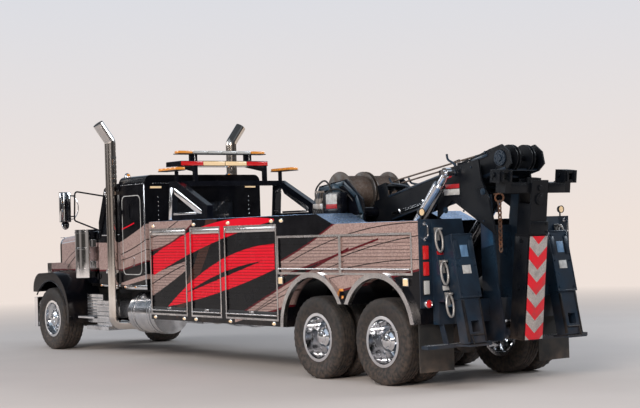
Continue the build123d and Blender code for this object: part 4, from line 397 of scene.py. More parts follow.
def makeRope(name, base, lay):
    look = ropeLook
    material, tree, shader = startMaterial(name)
    point = objectPoint(tree)
    twist = waves(tree, point, lay, look["distortion"])
    grease = noise(tree, point, 30.0, 4.0)
    # the colour is darker in the grooves of the lay: painted shade
    colour = mixColour(tree, twist, scaled(base, look["groove"]), base)
    colour = mixColour(tree, ramp(tree, grease, 0.4, 0.75, 0.0, look["greaseShare"]), colour, look["grease"])
    dress(tree, shader, colour, ramp(tree, grease, 0.3, 0.7, *look["rough"]), metal=look["metal"])
    addBump(tree, shader, twist, look["bump"])
    return material


chevronLook = {"pitch": 0.30, "middleZ": 1.13, "tilt": 0.9, "red": (0.80, 0.006, 0.020),
               "pale": (0.66, 0.60, 0.56), "paleShade": (0.36, 0.32, 0.30), "dirt": (0.10, 0.08, 0.07),
               "dirtShare": 0.5, "rough": (0.28, 0.45), "cellScale": 130.0, "edge": (0.248, 0.252)}


def makeChevrons(name):
    look = chevronLook
    material, tree, shader = startMaterial(name)
    point = objectPoint(tree)
    x, y, z = splitPoint(tree, point)
    slant = calc(tree, "MULTIPLY", calc(tree, "ABSOLUTE", y), look["tilt"])
    along = calc(tree, "SUBTRACT", calc(tree, "SUBTRACT", z, look["middleZ"]), slant)
    phase = calc(tree, "FRACT", calc(tree, "DIVIDE", along, look["pitch"]))
    red = ramp(tree, calc(tree, "ABSOLUTE", calc(tree, "SUBTRACT", phase, 0.5)), *look["edge"])
    beads = cells(tree, point, look["cellScale"])
    pale = mixColour(tree, ramp(tree, beads, 0.2, 0.6), look["pale"], look["paleShade"])
    colour = mixColour(tree, red, pale, look["red"])
    dirt = ramp(tree, noise(tree, point, 9.0, 6.0), 0.5, 0.8, 0.0, look["dirtShare"])
    rough = ramp(tree, noise(tree, point, 12.0), 0.3, 0.7, *look["rough"])
    dress(tree, shader, mixColour(tree, dirt, colour, look["dirt"]), rough)
    addBump(tree, shader, beads, 0.1, 0.001)
    return material


finishes.update({
    "darkGlass": makeGlass("darkGlass", (0.010, 0.012, 0.016), 0.03),
    "redLens": makeLens("redLens", (0.62, 0.012, 0.014), 0.30),
    "amberLens": makeLens("amberLens", (0.80, 0.30, 0.04), 0.25),
    "clearLens": makeLens("clearLens", (0.62, 0.62, 0.60), 0.08),
    "warmLens": makeLens("warmLens", (0.86, 0.62, 0.36), 0.45),
    "tyreRubber": makeTyreRubber("tyreRubber"),
    # the top tread plate's blue base colour is a painted reflection of the sky
    "treadPlatePaintedSky": makeTreadPlate("treadPlatePaintedSky", (0.36, 0.50, 0.72)),
    "stepPlate": makeTreadPlate("stepPlate", (0.46, 0.46, 0.47)),
    "wireRope": makeRope("wireRope", (0.30, 0.24, 0.20), 60.0),
    "drumRope": makeRope("drumRope", (0.26, 0.21, 0.18), 30.0),
    "chevronPaint": makeChevrons("chevronPaint"),
})

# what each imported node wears
nodeFinishes = {
    "framePaint": ("frame_rails", "front_axle", "drive_axles", "knuckle_left", "knuckle_right"),
    "sidePaint": ("hood", "cab_shell", "sleeper_shell", "cab_door_left", "cab_door_right",
                  "sleeper_door_left", "sleeper_door_right", "recovery_body"),
    "blackPaint": ("winch_frame", "light_tower"),
    "gearPaint": ("boom", "boom_extension", "underlift_arm", "stinger", "crossbar"),
    "tailPaint": ("tail_frame", "jack_left", "jack_right", "tail_fittings", "tail_panels"),
    "chrome": ("front_bumper", "air_cleaners", "grille", "lift_rods", "headlamps"),
    "polishedAlloy": ("lift_barrels", "fuel_tanks", "step_boxes"),
    "darkGlass": ("cab_glass", "door_glass_left", "door_glass_right"),
    "drumSteel": ("winch_drum_left", "winch_drum_right"),
    "castMetalAndHoleShade": ("engine",), "stackChrome": ("exhaust_stacks",), "slatPaint": ("shutters",),
    "frameAlloy": ("body_trim",), "wireRope": ("winch_ropes",), "seatCloth": ("cab_interior",),
    "darkPlastic": ("steering_wheel",), "amberLens": ("lamps",), "flapRubber": ("mud_flaps",),
    "galvanised": ("tow_hooks",),
    "tyreRubber": [name for name in nodes if "tyre" in name],
    "wheelChrome": [name for name in nodes
                    if name.startswith(("front_wheel", "drive_wheels")) and "tyre" not in name],
}
wears = {name: finish for finish, names in nodeFinishes.items() for name in names}
for name, node in nodes.items():
    if not node.data.materials:
        node.data.materials.append(None)
    for slot in node.material_slots:
        slot.material = finishes[wears[name]]
print("packed nodes dressed")


# shapes

def newVerts(items):
    return [item for item in items if isinstance(item, bmesh.types.BMVert)]


def bevelEdges(bm, verts, width):
    edges = list({edge for vert in verts for edge in vert.link_edges})
    return bmesh.ops.bevel(bm, geom=edges, offset=width, offset_type="OFFSET", segments=2, profile=0.5,
                           affect="EDGES", material=-1, clamp_overlap=True)["faces"]


def addBox(bm, x, y, z, bevel=0.0, turn=None):
    middle = Vector(((x[0] + x[1]) / 2, (y[0] + y[1]) / 2, (z[0] + z[1]) / 2))
    size = (abs(x[1] - x[0]), abs(y[1] - y[0]), abs(z[1] - z[0]))
    verts = bmesh.ops.create_cube(bm, size=1.0)["verts"]
    bmesh.ops.scale(bm, vec=size, verts=verts)
    if bevel:
        faces = bevelEdges(bm, verts, min(bevel, 0.45 * min(size)))
        onFaces = {vert for face in faces for vert in face.verts}
        verts = list(onFaces | {vert for vert in verts if vert.is_valid})
    if turn:
        bmesh.ops.transform(bm, matrix=turn.to_4x4(), verts=verts)
    bmesh.ops.translate(bm, vec=middle, verts=verts)


def addRod(bm, start, end, radius, segments=20, endRadius=None):
    first, last = Vector(start), Vector(end)
    reach = last - first
    turn = Vector((0, 0, 1)).rotation_difference(reach).to_matrix().to_4x4()
    bmesh.ops.create_cone(bm, cap_ends=True, segments=segments, radius1=radius, depth=reach.length,
                          radius2=radius if endRadius is None else endRadius,
                          matrix=Matrix.Translation((first + last) / 2) @ turn)


def addTurned(bm, profile, centre, axis, steps=48, close=True):   # profile: (along the axis, radius)
    axis = Vector(axis).normalized()
    out = axis.orthogonal().normalized()
    centre = Vector(centre)
    verts = [bm.verts.new(centre + axis * along + out * radius) for along, radius in profile]
    edges = [bm.edges.new((a, b)) for a, b in zip(verts, verts[1:])]
    if close:
        edges.append(bm.edges.new((verts[-1], verts[0])))
    bmesh.ops.spin(bm, geom=verts + edges, cent=centre, axis=axis, angle=2 * pi, steps=steps, use_merge=True)


def addOutline(bm, points, y, bevel=0.0):   # a plate whose side outline is points (x, z)
    verts = [bm.verts.new((x, y[0], z)) for x, z in points]
    moved = newVerts(bmesh.ops.extrude_face_region(bm, geom=[bm.faces.new(verts)])["geom"])
    bmesh.ops.translate(bm, vec=(0, y[1] - y[0], 0), verts=moved)
    if bevel:
        bevelEdges(bm, verts + moved, bevel)


def addLeaning(bm, point, first, second, y, bevel=0.0):   # a plate along and across a leaning part
    corners = ((first[0], second[0]), (first[0], second[1]), (first[1], second[1]), (first[1], second[0]))
    addOutline(bm, [point(*corner) for corner in corners], y, bevel)


def addBand(bm, first, last, y, half):   # a flat bar between two (x, z) points, a little past both
    along = Vector((last[0] - first[0], last[1] - first[1])).normalized()
    out = Vector((-along.y, along.x)) * half
    start, end = Vector(first) - along * half * 0.5, Vector(last) + along * half * 0.5
    addOutline(bm, [tuple(start + out), tuple(end + out), tuple(end - out), tuple(start - out)], y, 0.002)


def addTorus(bm, centre, axis, radius, thickness, steps=28, facets=10):
    angles = [2 * pi * n / facets for n in range(facets)]
    addTurned(bm, [(thickness * sin(a), radius + thickness * cos(a)) for a in angles], centre, axis, steps)


def addDome(bm, centre, axis, radius, height, stretch=1.0):   # a round or oval lens, its flat side on centre
    rise = [(height * sin(pi / 2 * n / 5), radius * cos(pi / 2 * n / 5)) for n in range(5)]
    before = set(bm.verts)
    addTurned(bm, [(-0.3 * height, radius)] + rise + [(height, 0.0)], centre, axis, 24, False)
    for vert in bm.verts:
        if vert not in before:
            vert.co.x = centre[0] + (vert.co.x - centre[0]) * stretch


def addTube(bm, points, radius, facets=10, smooth=True):   # a bent tube along the points
    curve = bpy.data.curves.new("route", "CURVE")
    curve.dimensions = "3D"
    spline = curve.splines.new("NURBS" if smooth else "POLY")
    spline.points.add(len(points) - 1)
    for point, place in zip(spline.points, points):
        point.co = (*place, 1)
    if smooth:
        spline.order_u = 3
        spline.use_endpoint_u = True
        spline.resolution_u = 6
    curve.bevel_depth = radius
    curve.bevel_resolution = max(0, facets // 2 - 2)
    curve.use_fill_caps = True
    holder = bpy.data.objects.new("route", curve)
    mesh = bpy.data.meshes.new_from_object(holder)
    bm.from_mesh(mesh)
    bpy.data.objects.remove(holder)
    bpy.data.curves.remove(curve)
    bpy.data.meshes.remove(mesh)


def finishPiece(bm, name, body, finish, slot, sharp=30, replaces=()):
    bmesh.ops.remove_doubles(bm, verts=bm.verts, dist=0.00005)
    bmesh.ops.recalc_face_normals(bm, faces=bm.faces)
    for face in bm.faces:
        face.smooth = True
    for edge in bm.edges:
        edge.smooth = edge.calc_face_angle(0.0) < radians(sharp)
    mesh = bpy.data.meshes.new(name)
    bm.to_mesh(mesh)
    bm.free()
    piece = bpy.data.objects.new(name, mesh)
    bpy.context.scene.collection.objects.link(piece)
    mesh.materials.append(finishes[finish])
    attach(piece, body)
    if replaces:
        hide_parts(*replaces)


def addParts(bm, parts):   # parts: by name, a shape with its measures, or a list of such rows
    for rows in parts.values():
        for shape, *measures in rows if isinstance(rows, list) else [rows]:
            shape(bm, *measures)


def makePiece(name, body, finish, slot, left, middle=None, sharp=30, replaces=()):   # left is mirrored
    bm = bmesh.new()
    if left:
        addParts(bm, left)
        bmesh.ops.mirror(bm, geom=bm.verts[:] + bm.edges[:] + bm.faces[:], axis="Y")
    addParts(bm, middle or {})
    finishPiece(bm, name, body, finish, slot, sharp, replaces)


# wheels: treaded tyres in place of the plain ones
tyreLook = {"radius": 0.530, "grooveDepth": 0.014, "grooveHalf": 0.0055, "grooveFloor": 0.0033, "ribs": 5,
            "shoulder": 0.028, "crownDrop": 0.009, "bead": 0.295, "beadInset": 0.05, "rimWidthShare": 0.76,
            "steps": 144, "lugPitch": 4, "lugDepth": 0.007, "lugFrom": 0.50, "lugInset": 0.004}


def addTread(bm, middle, width):
    look = tyreLook
    half = width / 2
    pitch = (width - 2 * look["shoulder"]) / look["ribs"]
    crown = []
    for n in range(look["ribs"] + 1):
        place = -half + look["shoulder"] + n * pitch
        arch = look["radius"] - look["crownDrop"] * (place / half) ** 2
        if 0 < n < look["ribs"]:
            floor = arch - look["grooveDepth"]
            crown += [(place - look["grooveHalf"], arch), (place - look["grooveFloor"], floor),
                      (place + look["grooveFloor"], floor), (place + look["grooveHalf"], arch)]
        else:
            crown.append((place, arch))
    rim = half * look["rimWidthShare"]
    wall = [(rim - 0.01, look["bead"]), (rim + 0.004, 0.312), (rim + 0.004, 0.330), (half - 0.010, 0.375),
            (half - 0.001, 0.425), (half, 0.452), (half - 0.006, 0.482), (half - 0.009, 0.484),
            (half - 0.013, 0.507)]
    inner = half - look["beadInset"]
    beads = [(inner, look["bead"]), (-inner, look["bead"])]
    profile = [(-a, r) for a, r in wall] + crown + wall[::-1] + beads
    before = len(bm.verts)
    addTurned(bm, profile, middle, (0, 1, 0), look["steps"])
    bm.verts.ensure_lookup_table()
    for vert in bm.verts[before:]:   # notches round both shoulders
        offset = vert.co - Vector(middle)
        radial = hypot(offset.x, offset.z)
        turn = round((atan2(offset.z, offset.x) / (2 * pi) + 1) * look["steps"]) % look["lugPitch"]
        outer = radial > look["lugFrom"] and abs(offset.y) > half - look["shoulder"] - look["lugInset"]
        if outer and turn < look["lugPitch"] / 2:
            shrink = 1 - look["lugDepth"] / radial
            vert.co = Vector((middle[0] + offset.x * shrink, vert.co.y, middle[2] + offset.z * shrink))


frontTyre = {"y": 0.9945, "width": 0.385, "rimFace": 0.071, "hubEnd": 0.160}
driveTyre = {"y": 0.9565, "twinSpacing": 0.343, "width": 0.280, "rimFace": 0.011, "hubEnd": 0.220}
driveX = {station: joints[f"drive_wheel_{station}_left_spin"]["pos_m"][0] for station in ("mid", "rear")}
for name, side in sides:
    bm = bmesh.new()
    addTread(bm, (frontX, side * frontTyre["y"], tyreLook["radius"]), frontTyre["width"])
    finishPiece(bm, f"front_tread_{name}", f"front_wheel_{name}", "tyreRubber", "tyre", 40,
                [f"front_tyre_{name}"])
for station, x in driveX.items():
    for name, side in sides:
        bm = bmesh.new()
        for twin in (-0.5, 0.5):
            y = side * driveTyre["y"] + twin * driveTyre["twinSpacing"]
            addTread(bm, (x, y, tyreLook["radius"]), driveTyre["width"])
        finishPiece(bm, f"drive_treads_{station}_{name}", f"drive_wheel_{station}_{name}", "tyreRubber",
                    "tyre", 40, [f"drive_tyres_{station}_{name}"])
print("tyres made")


# rim trim: ten nut covers, a flanged hub cap with its own small bolts, rings round the hand holes, a valve
rimLook = {"nuts": 10, "nutCircle": 0.1435, "nutRadius": 0.019, "nutLength": 0.045, "washer": 0.008,
           "holeCircle": 0.205, "holeRing": 0.029, "holeRod": 0.003, "capRadius": 0.086, "capBolts": 8,
           "boltInset": 0.008, "boltRadius": 0.006, "valve": (0.262, 0.250), "valveLength": 0.05}


def addRimTrim(bm, x, face, hubEnd, outward):
    look = rimLook
    axle = tyreLook["radius"]

    def around(share, circle):   # x and z on a circle round the axle
        angle = 2 * pi * share
        return x + circle * cos(angle), axle + circle * sin(angle)

    for n in range(look["nuts"]):
        nutX, nutZ = around((n + 0.5) / look["nuts"], look["nutCircle"])
        for reach, radius, segments, tip in (
                (look["nutLength"], look["nutRadius"], 6, 0.8 * look["nutRadius"]),
                (look["washer"], 1.25 * look["nutRadius"], 12, None)):
            addRod(bm, (nutX, face, nutZ), (nutX, face + outward * reach, nutZ), radius, segments, tip)
        holeX, holeZ = around(n / look["nuts"], look["holeCircle"])
        addTorus(bm, (holeX, face, holeZ), (0, 1, 0), look["holeRing"], look["holeRod"], 20, 6)
    r = look["capRadius"]
    cap = [(0.0, 0.0), (0.0, r), (0.006, r), (0.008, r - 0.014), (0.016, r - 0.020), (0.024, 0.035),
           (0.026, 0.018), (0.030, 0.016), (0.030, 0.0)]
    addTurned(bm, [(outward * along, radius) for along, radius in cap], (x, hubEnd, axle), (0, 1, 0), 40,
              False)
    for n in range(look["capBolts"]):
        boltX, boltZ = around(n / look["capBolts"], r - look["boltInset"])
        addRod(bm, (boltX, hubEnd + outward * 0.004, boltZ), (boltX, hubEnd + outward * 0.012, boltZ),
               look["boltRadius"], 6)
    start, end = look["valve"]
    addRod(bm, (x, face, axle + start), (x, face + outward * look["valveLength"], axle + end), 0.005, 8)


for name, side in sides:
    wheels = [("front_rim_trim", "front_wheel", frontX, frontTyre)]
    wheels += [(f"drive_rim_trim_{station}", f"drive_wheel_{station}", x, driveTyre)
               for station, x in driveX.items()]
    for piece, wheel, x, tyre in wheels:
        bm = bmesh.new()
        addRimTrim(bm, x, side * (tyre["y"] + tyre["rimFace"]), side * (tyre["y"] + tyre["hubEnd"]), side)
        finishPiece(bm, f"{piece}_{name}", f"{wheel}_{name}", "wheelChrome", "chrome")
print("wheels trimmed")


# leaning parts: points (x, z) of the tail panel, the under-lift arm and the boom, in their own directions
leans = {"tail": (radians(11.8), -5.063, 1.99), "arm": (radians(6.7), -5.348, 0.61),
         "boom": (radians(12.2), -2.928, 2.12)}


def tailPoint(down, out):
    lean, x, z = leans["tail"]
    return x - down * sin(lean) - out * cos(lean), z - down * cos(lean) + out * sin(lean)


def armPoint(up, back):
    lean, x, z = leans["arm"]
    return x - up * sin(lean) - back * cos(lean), z + up * cos(lean) - back * sin(lean)


def boomPoint(along, up):
    lean, x, z = leans["boom"]
    return x - along * cos(lean) + up * sin(lean), z + along * sin(lean) + up * cos(lean)


def atY(point, y):   # a point (x, z) brought to its place across the truck
    return point[0], y, point[1]


def crossPin(point, y, radius, segments, tip=None):   # a rod across the truck at a point (x, z)
    return addRod, atY(point, y[0]), atY(point, y[1]), radius, segments, tip


def ovalRoute(turns, place):   # a closed route of points round an oval; place gives each one from its angle
    return [place(2 * pi * n / turns) for n in range(turns + 1)]


# lamps: bar, small bars, markers along the body, tail strips, round lamps and work lamps, by lens colour
lampLook = {"boardX": (1.0615, 1.056), "boardZ": (2.962, 3.024), "barX": (1.122, 1.262),
            "barZ": (3.150, 3.193), "wall": 1.2355, "high": (2.043, (1.192, 0.012, -0.918, -1.9995, -2.233)),
            "low": (0.67, (1.192, 0.342, 0.012, -0.918, -1.9995)), "tailY": 1.147, "roundZ": 1.0,
            "strips": ((1.60, "red"), (1.41, "red"), (1.19, "clear")), "work": (-5.003, 1.15, 2.075)}
workX, workY, workZ = lampLook["work"]
boardX, boardZ, tailY, roundZ = (lampLook[key] for key in ("boardX", "boardZ", "tailY", "roundZ"))
lampParts = {
    "amber": [(addBox, (0.672 + 0.136 * n, 0.802 + 0.136 * n), (0.955, 1.115), (2.874, 2.917), 0.012)
              for n in range(4)],
    "red": [(addBox, boardX, (0.40, 0.795), boardZ, 0.002),
            (addDome, (-5.094, tailY, roundZ), (-1, 0, 0), 0.043, 0.018)],
    "clear": [],
    "warm": [(addBox, boardX, (0.005, 0.395), boardZ, 0.002),
             (addDome, (workX - 0.022, workY, workZ), (-1, 0, 0), 0.041, 0.007)],
    "bezel": [(addTurned, [(0, 0.040), (0, 0.052), (-0.040, 0.052), (-0.046, 0.047), (-0.040, 0.042)],
               (-5.063, tailY, roundZ), (1, 0, 0), 32)],
    "housing": [(addBox, (0.668, 1.216), (0.951, 1.119), (2.864, 2.876), 0.004),
                (addRod, (workX, workY, 1.975), (workX, workY, 2.034), 0.010, 12),
                (addTurned, [(0.026, 0.0), (0.024, 0.024), (0.010, 0.042), (-0.024, 0.048), (-0.030, 0.048),
                             (-0.030, 0.041), (-0.020, 0.041)], (workX, workY, workZ), (1, 0, 0), 32, False)],
}
for n, colour in enumerate(("clear", "clear", "amber")):
    lampParts[colour].append((addBox, lampLook["barX"], (0.012 + 0.266 * n, 0.262 + 0.266 * n),
                              lampLook["barZ"], 0.014))
for row, lens, rim in (("high", 0.021, 0.027), ("low", 0.020, 0.026)):
    z, places = lampLook[row]
    for x in places:
        lampParts["warm"].append((addDome, (x, lampLook["wall"] + 0.006, z), (0, 1, 0), lens, 0.012, 2.0))
        lampParts["bezel"].append((addDome, (x, lampLook["wall"] + 0.003, z), (0, 1, 0), rim, 0.006, 1.8))
for z, colour in lampLook["strips"]:
    lampParts["housing"].append((addBox, (-5.069, -5.062), (tailY - 0.052, tailY + 0.052),
                                 (z - 0.090, z + 0.090), 0.003))
    lampParts[colour].append((addBox, (-5.079, -5.066), (tailY - 0.042, tailY + 0.042),
                              (z - 0.080, z + 0.080), 0.006))
lampFinish = {"bezel": ("chrome", "chrome"), "housing": ("darkPlastic", "chrome")}
barTray = {"tray of the bar": (addBox, (1.117, 1.267), (-0.81, 0.81), (3.137, 3.152), 0.005)}
for colour, parts in lampParts.items():
    finish, slot = lampFinish.get(colour, (f"{colour}Lens", "lamp_lens"))
    makePiece(f"{colour}_lamp_pieces", "chassis", finish, slot, {"lamps": parts},
              barTray if colour == "housing" else None, 40, ["lamps"])
print("lamps fitted")


# tail panels: rings on the hooks, blank plates, rims round the jack sleeves, jack levers and bars, step teeth
tailLook = {"hookDowns": (0.15, 0.54, 0.925), "ringY": 1.008, "ringHalf": 0.052, "ringDrop": 0.25,
            "ringRod": 0.0145, "jackY": 0.79, "jackHalf": 0.15, "teeth": 22, "toothY": (0.34, 1.26),
            "toothX": (-5.235, -5.198, -5.161), "toothZ": 0.5195, "panelPlateY": (0.945, 1.040)}
ringY, jackY, jackHalf = tailLook["ringY"], tailLook["jackY"], tailLook["jackHalf"]
rings = []
for down in tailLook["hookDowns"]:   # an oval that hangs from the hook's bar and rests along the panel
    top, foot = Vector(tailPoint(down - 0.012, 0.052)), Vector(tailPoint(down + tailLook["ringDrop"], 0.034))
    route = ovalRoute(28, lambda a: atY(top.lerp(foot, (1 - cos(a)) / 2),
                                        ringY + tailLook["ringHalf"] * sin(a)))
    rings.append((addTube, route, tailLook["ringRod"], 10, False))
    rings.append((addLeaning, tailPoint, (down + 0.035, down + 0.115), (0.020, 0.034),
                  (ringY - 0.022, ringY + 0.022), 0.005))
makePiece("towing_rings", "chassis", "galvanised", "polished_alloy", {"rings and their pads": rings},
          sharp=40)
sleeveTrim = {
    "rims down the edges": [(addLeaning, tailPoint, (0.2248, 0.9848), (0.172, 0.194),
                             (jackY + edge * (jackHalf - 0.006), jackY + edge * (jackHalf + 0.012)), 0.003)
                            for edge in (-1, 1)],
    "window strips": [(addLeaning, tailPoint, (0.30, 0.52), (0.190, 0.200),
                       (jackY + edge * 0.085, jackY + edge * 0.145), 0.002) for edge in (-1, 1)],
    "rims across": [(addLeaning, tailPoint, (down - 0.010, down + 0.010), (0.188, 0.197),
                     (jackY - jackHalf, jackY + jackHalf), 0.003) for down in (0.232, 0.977)],
    "bolts": [(addRod, (x, jackY + y, z), (x - 0.016, jackY + y, z + 0.003), 0.011, 6)
              for x, z in (tailPoint(down, 0.188) for down in (0.28, 0.60, 0.93)) for y in (-0.128, 0.128)],
}
makePiece("jack_sleeve_trim", "chassis", "tailPaint", "tail_paint", sleeveTrim)
tailPlates = {
    "white": {"panel": (addLeaning, tailPoint, (0.800, 0.855), (0.0, 0.003), tailLook["panelPlateY"], 0.001),
              "jack": (addLeaning, tailPoint, (0.60, 0.70), (0.189, 0.193), (jackY - 0.065, jackY + 0.065),
                       0.001)},
    "red": {"panel": (addLeaning, tailPoint, (0.385, 0.430), (0.0, 0.003), tailLook["panelPlateY"], 0.001)},
    "blue": {"foot": (addLeaning, tailPoint, (1.02, 1.05), (0.0, 0.003), (0.92, 1.02), 0.001)},
}
blueJackPlates = {"jack windows": [(addLeaning, tailPoint, (0.36, 0.50), (0.189, 0.193),
                                    (side * jackY - 0.06, side * jackY + 0.05), 0.001) for side in (1, -1)]}
for colour, parts in tailPlates.items():
    makePiece(f"{colour}_tail_plates", "chassis", f"label{colour.capitalize()}", "tail_paint", parts,
              blueJackPlates if colour == "blue" else None)
for name, side in sides:
    y = side * jackY
    x, z = tailPoint(1.42, 0.178)
    jackBars = {
        "bars down the leg": [(addLeaning, tailPoint, (1.00, 1.50), (0.150, 0.184),
                               (y + edge * 0.112, y + edge * 0.138), 0.004) for edge in (-1, 1)],
        "lever": [(addRod, (x, y - 0.10, z), (x, y + 0.10, z), 0.013, 16),
                  (addRod, (x, y + side * 0.085, z), (x - 0.05, y + side * 0.085, z - 0.11), 0.010, 12)],
        "grip bars of the foot": [(addRod, (-5.575 + 0.027 * n, y - 0.155, 0.529),
                                   (-5.575 + 0.027 * n, y + 0.155, 0.529), 0.005, 6) for n in range(9)],
    }
    makePiece(f"jack_bars_{name}", f"jack_{name}", "gearPaint", "tail_paint", None, jackBars)
firstTooth, lastTooth = tailLook["toothY"]
toothStep = (lastTooth - firstTooth) / (tailLook["teeth"] - 1)
teeth = [(addTurned, [(0, 0.006), (0, 0.011), (0.006, 0.009), (0.006, 0.006)],
          (x, firstTooth + toothStep * n, tailLook["toothZ"]), (0, 0, 1), 8)
         for n in range(tailLook["teeth"]) for x in tailLook["toothX"]]
makePiece("tail_step_teeth", "chassis", "stepPlate", "tail_paint", {"teeth": teeth})
print("tail fitted")


# under-lift: chevron board, collar and boss of the stinger, side plates and hoses of the arm, crossbar, chain
board = {"board": (addLeaning, armPoint, (-0.045, 1.184), (0.2945, 0.302), (-0.141, 0.141), 0.002)}
makePiece("chevron_board", "underlift_arm", "chevronPaint", "frame_paint", None, board)
collar = {
    "collar": (addLeaning, armPoint, (1.20, 1.36), (0.2790, 0.3000), (-0.150, 0.150), 0.010),
    "boss": [(addRod, atY(armPoint(1.62, 0.278), 0), atY(armPoint(1.62, back), 0), radius, 32)
             for radius, back in ((0.068, 0.300), (0.045, 0.306))],
    "bolts": [(addRod, atY(armPoint(up, 0.298), y), atY(armPoint(up, 0.309), y), 0.014, 6)
              for up in (1.23, 1.33) for y in (-0.12, 0.12)],
}
makePiece("stinger_collar", "stinger", "gearPaint", "frame_paint", None, collar)
armHoses = (((0.02, 0.03), (0.30, 0.0), (0.70, -0.005), (1.05, 0.012), (1.17, 0.05)),
            ((0.02, 0.03), (0.28, 0.005), (0.68, 0.005), (1.0, 0.015), (1.17, 0.05)))
armSides = {
    "plate": (addLeaning, armPoint, (-0.03, 1.17), (0.060, 0.280), (0.1445, 0.155), 0.003),
    "bolts": [crossPin(armPoint(up, 0.17), (0.150, 0.172), 0.026, 6) for up in (0.02, 0.56, 1.12)],
    "boss": crossPin(armPoint(0.95, 0.12), (0.150, 0.166), 0.060, 28),
    "hoses": [(addTube, [atY(armPoint(*place), 0.06) for place in route], 0.011, 8) for route in armHoses],
}
makePiece("arm_side_plates", "underlift_arm", "gearPaint", "frame_paint", armSides)
boltX, boltZ = armPoint(1.81, 0.165)
lockX, lockZ = armPoint(1.90, 0.15)
crossbarSides = {
    "bolts": [(addRod, (boltX, y, boltZ - 0.004), (boltX - 0.003, y, boltZ + 0.012), 0.020, 6)
              for y in (0.22, 0.36)],
    "face plate": (addLeaning, armPoint, (1.70, 1.80), (0.2510, 0.2555), (0.16, 0.44), 0.002),
    "lugs on the receiver": [(addLeaning, armPoint, (1.825, 1.945), (0.2500, 0.2720), y, 0.010)
                             for y in ((0.450, 0.485), (0.575, 0.610))],
    "receiver cap": (addLeaning, armPoint, (1.930, 1.962), (0.1000, 0.2400), (0.440, 0.620), 0.010),
    "lock pin ends": [crossPin((lockX, lockZ), y, 0.030, 24) for y in ((0.632, 0.648), (0.424, 0.408))],
    "lock pin handle": (addRod, (lockX, 0.646, lockZ), (lockX - 0.01, 0.668, lockZ - 0.060), 0.008, 10),
    "ties": [(addRod, atY(armPoint(up, 0.10), 0.500), atY(armPoint(up, 0.235), 0.500), 0.007, 8)
             for up in (1.705, 1.795)],
}
swivelBoss = {"swivel boss": (addRod, atY(armPoint(1.70, 0.17), 0), atY(armPoint(1.865, 0.17), 0), 0.085, 32)}
makePiece("crossbar_fittings", "crossbar", "gearPaint", "frame_paint", crossbarSides, swivelBoss)
mastSide = {"plate": (addOutline, [(-5.060, 1.62), (-5.060, 1.99), (-5.106, 2.256), (-5.230, 2.256),
                                   (-5.268, 1.66)],
                      (0.2502, 0.2532), 0.001)}
makePiece("mast_side_plates", "chassis", "bluePaint", "tail_paint", mastSide)
grabLook = {"y": 1.15, "z": (1.76, 1.94), "panelX": -5.062, "gripX": -5.123}
grabY, (grabLow, grabHigh) = grabLook["y"], grabLook["z"]
grabRoute = [(grabLook["panelX"], grabY, grabHigh), (grabLook["gripX"], grabY, grabHigh),
             (grabLook["gripX"], grabY, (grabLow + grabHigh) / 2), (grabLook["gripX"], grabY, grabLow),
             (grabLook["panelX"], grabY, grabLow)]
grabHandle = {
    "grip": (addTube, grabRoute, 0.0112, 12),
    "feet": [(addRod, (grabLook["panelX"], grabY, z), (grabLook["panelX"] - 0.007, grabY, z), 0.024, 20)
             for z in grabLook["z"]],
}
makePiece("grab_handle_sleeves", "chassis", "chrome", "chrome", grabHandle, sharp=35)
linkLook = {"x": -5.365, "y": 0.222, "top": 2.150, "count": 11, "pitch": 0.054, "rod": 0.0095, "half": 0.021,
            "tall": 0.037}


def linkRoute(n):   # chain links, each turned a quarter from the last
    def place(angle):
        wide = linkLook["half"] * sin(angle)
        return (linkLook["x"] + wide * (n % 2), linkLook["y"] + wide * (1 - n % 2),
                linkLook["top"] - linkLook["pitch"] * n + linkLook["tall"] * cos(angle))
    return ovalRoute(16, place)


chainParts = {
    "ring": (addTorus, (linkLook["x"], linkLook["y"], 2.222), (0.8, -0.6, 0), 0.050, 0.011, 32, 8),
    "links": [(addTube, linkRoute(n), linkLook["rod"], 8, False) for n in range(linkLook["count"])],
    "hanger": (addRod, (-5.27, 0.218, 2.268), (-5.39, 0.218, 2.268), 0.009, 12),
}
makePiece("chain", "chassis", "rustySteel", "bare_steel", None, chainParts, 40)
print("under-lift fitted")


# winches: rope laid in turns on each drum, ribs round the frame's sides, valves, hoses, cabinets, plates
winchLook = {"x": -2.458, "z": 2.39, "packRadius": 0.225, "packCore": 0.205, "rope": 0.011, "inner": 0.032,
             "outer": 0.408, "flanges": (0.0245, 0.4155), "flangeRadius": 0.286, "band": 0.030,
             "capBolts": 12, "capCircle": 0.122}
winchX, winchZ = winchLook["x"], winchLook["z"]
for name, side in sides:
    low, high, r, pack, core = (winchLook[key]
                                for key in ("inner", "outer", "rope", "packRadius", "packCore"))
    ripple = [(side * low, core)]
    for n in range(int((high - low) / (2 * r))):
        middle = low + r + 2 * r * n
        ripple += [(side * (middle + r * cos(share * pi)), pack + r * sin(share * pi))
                   for share in (1, 0.75, 0.5, 0.25)]
    ripple += [(side * high, pack), (side * high, core)]
    ropeParts = {
        "turns": (addTurned, ripple, (winchX, 0, winchZ), (0, 1, 0), 72),
        "flange rims": [(addTorus, (winchX, side * y, winchZ), (0, 1, 0), winchLook["flangeRadius"], 0.006,
                         56, 6)
                        for y in winchLook["flanges"]],
    }
    makePiece(f"rope_turns_{name}", f"winch_drum_{name}", "drumRope", "wire_rope", None, ropeParts, 35)
frameSide = [(-2.0, 1.35), (-2.0, 2.25), (-2.13, 2.45), (-2.67, 2.52), (-2.93, 2.34), (-3.04, 2.10),
             (-3.0, 1.35)]
boltPlaces = [(winchX + winchLook["capCircle"] * cos(2 * pi * n / winchLook["capBolts"]),
               winchZ + winchLook["capCircle"] * sin(2 * pi * n / winchLook["capBolts"]))
              for n in range(winchLook["capBolts"])]
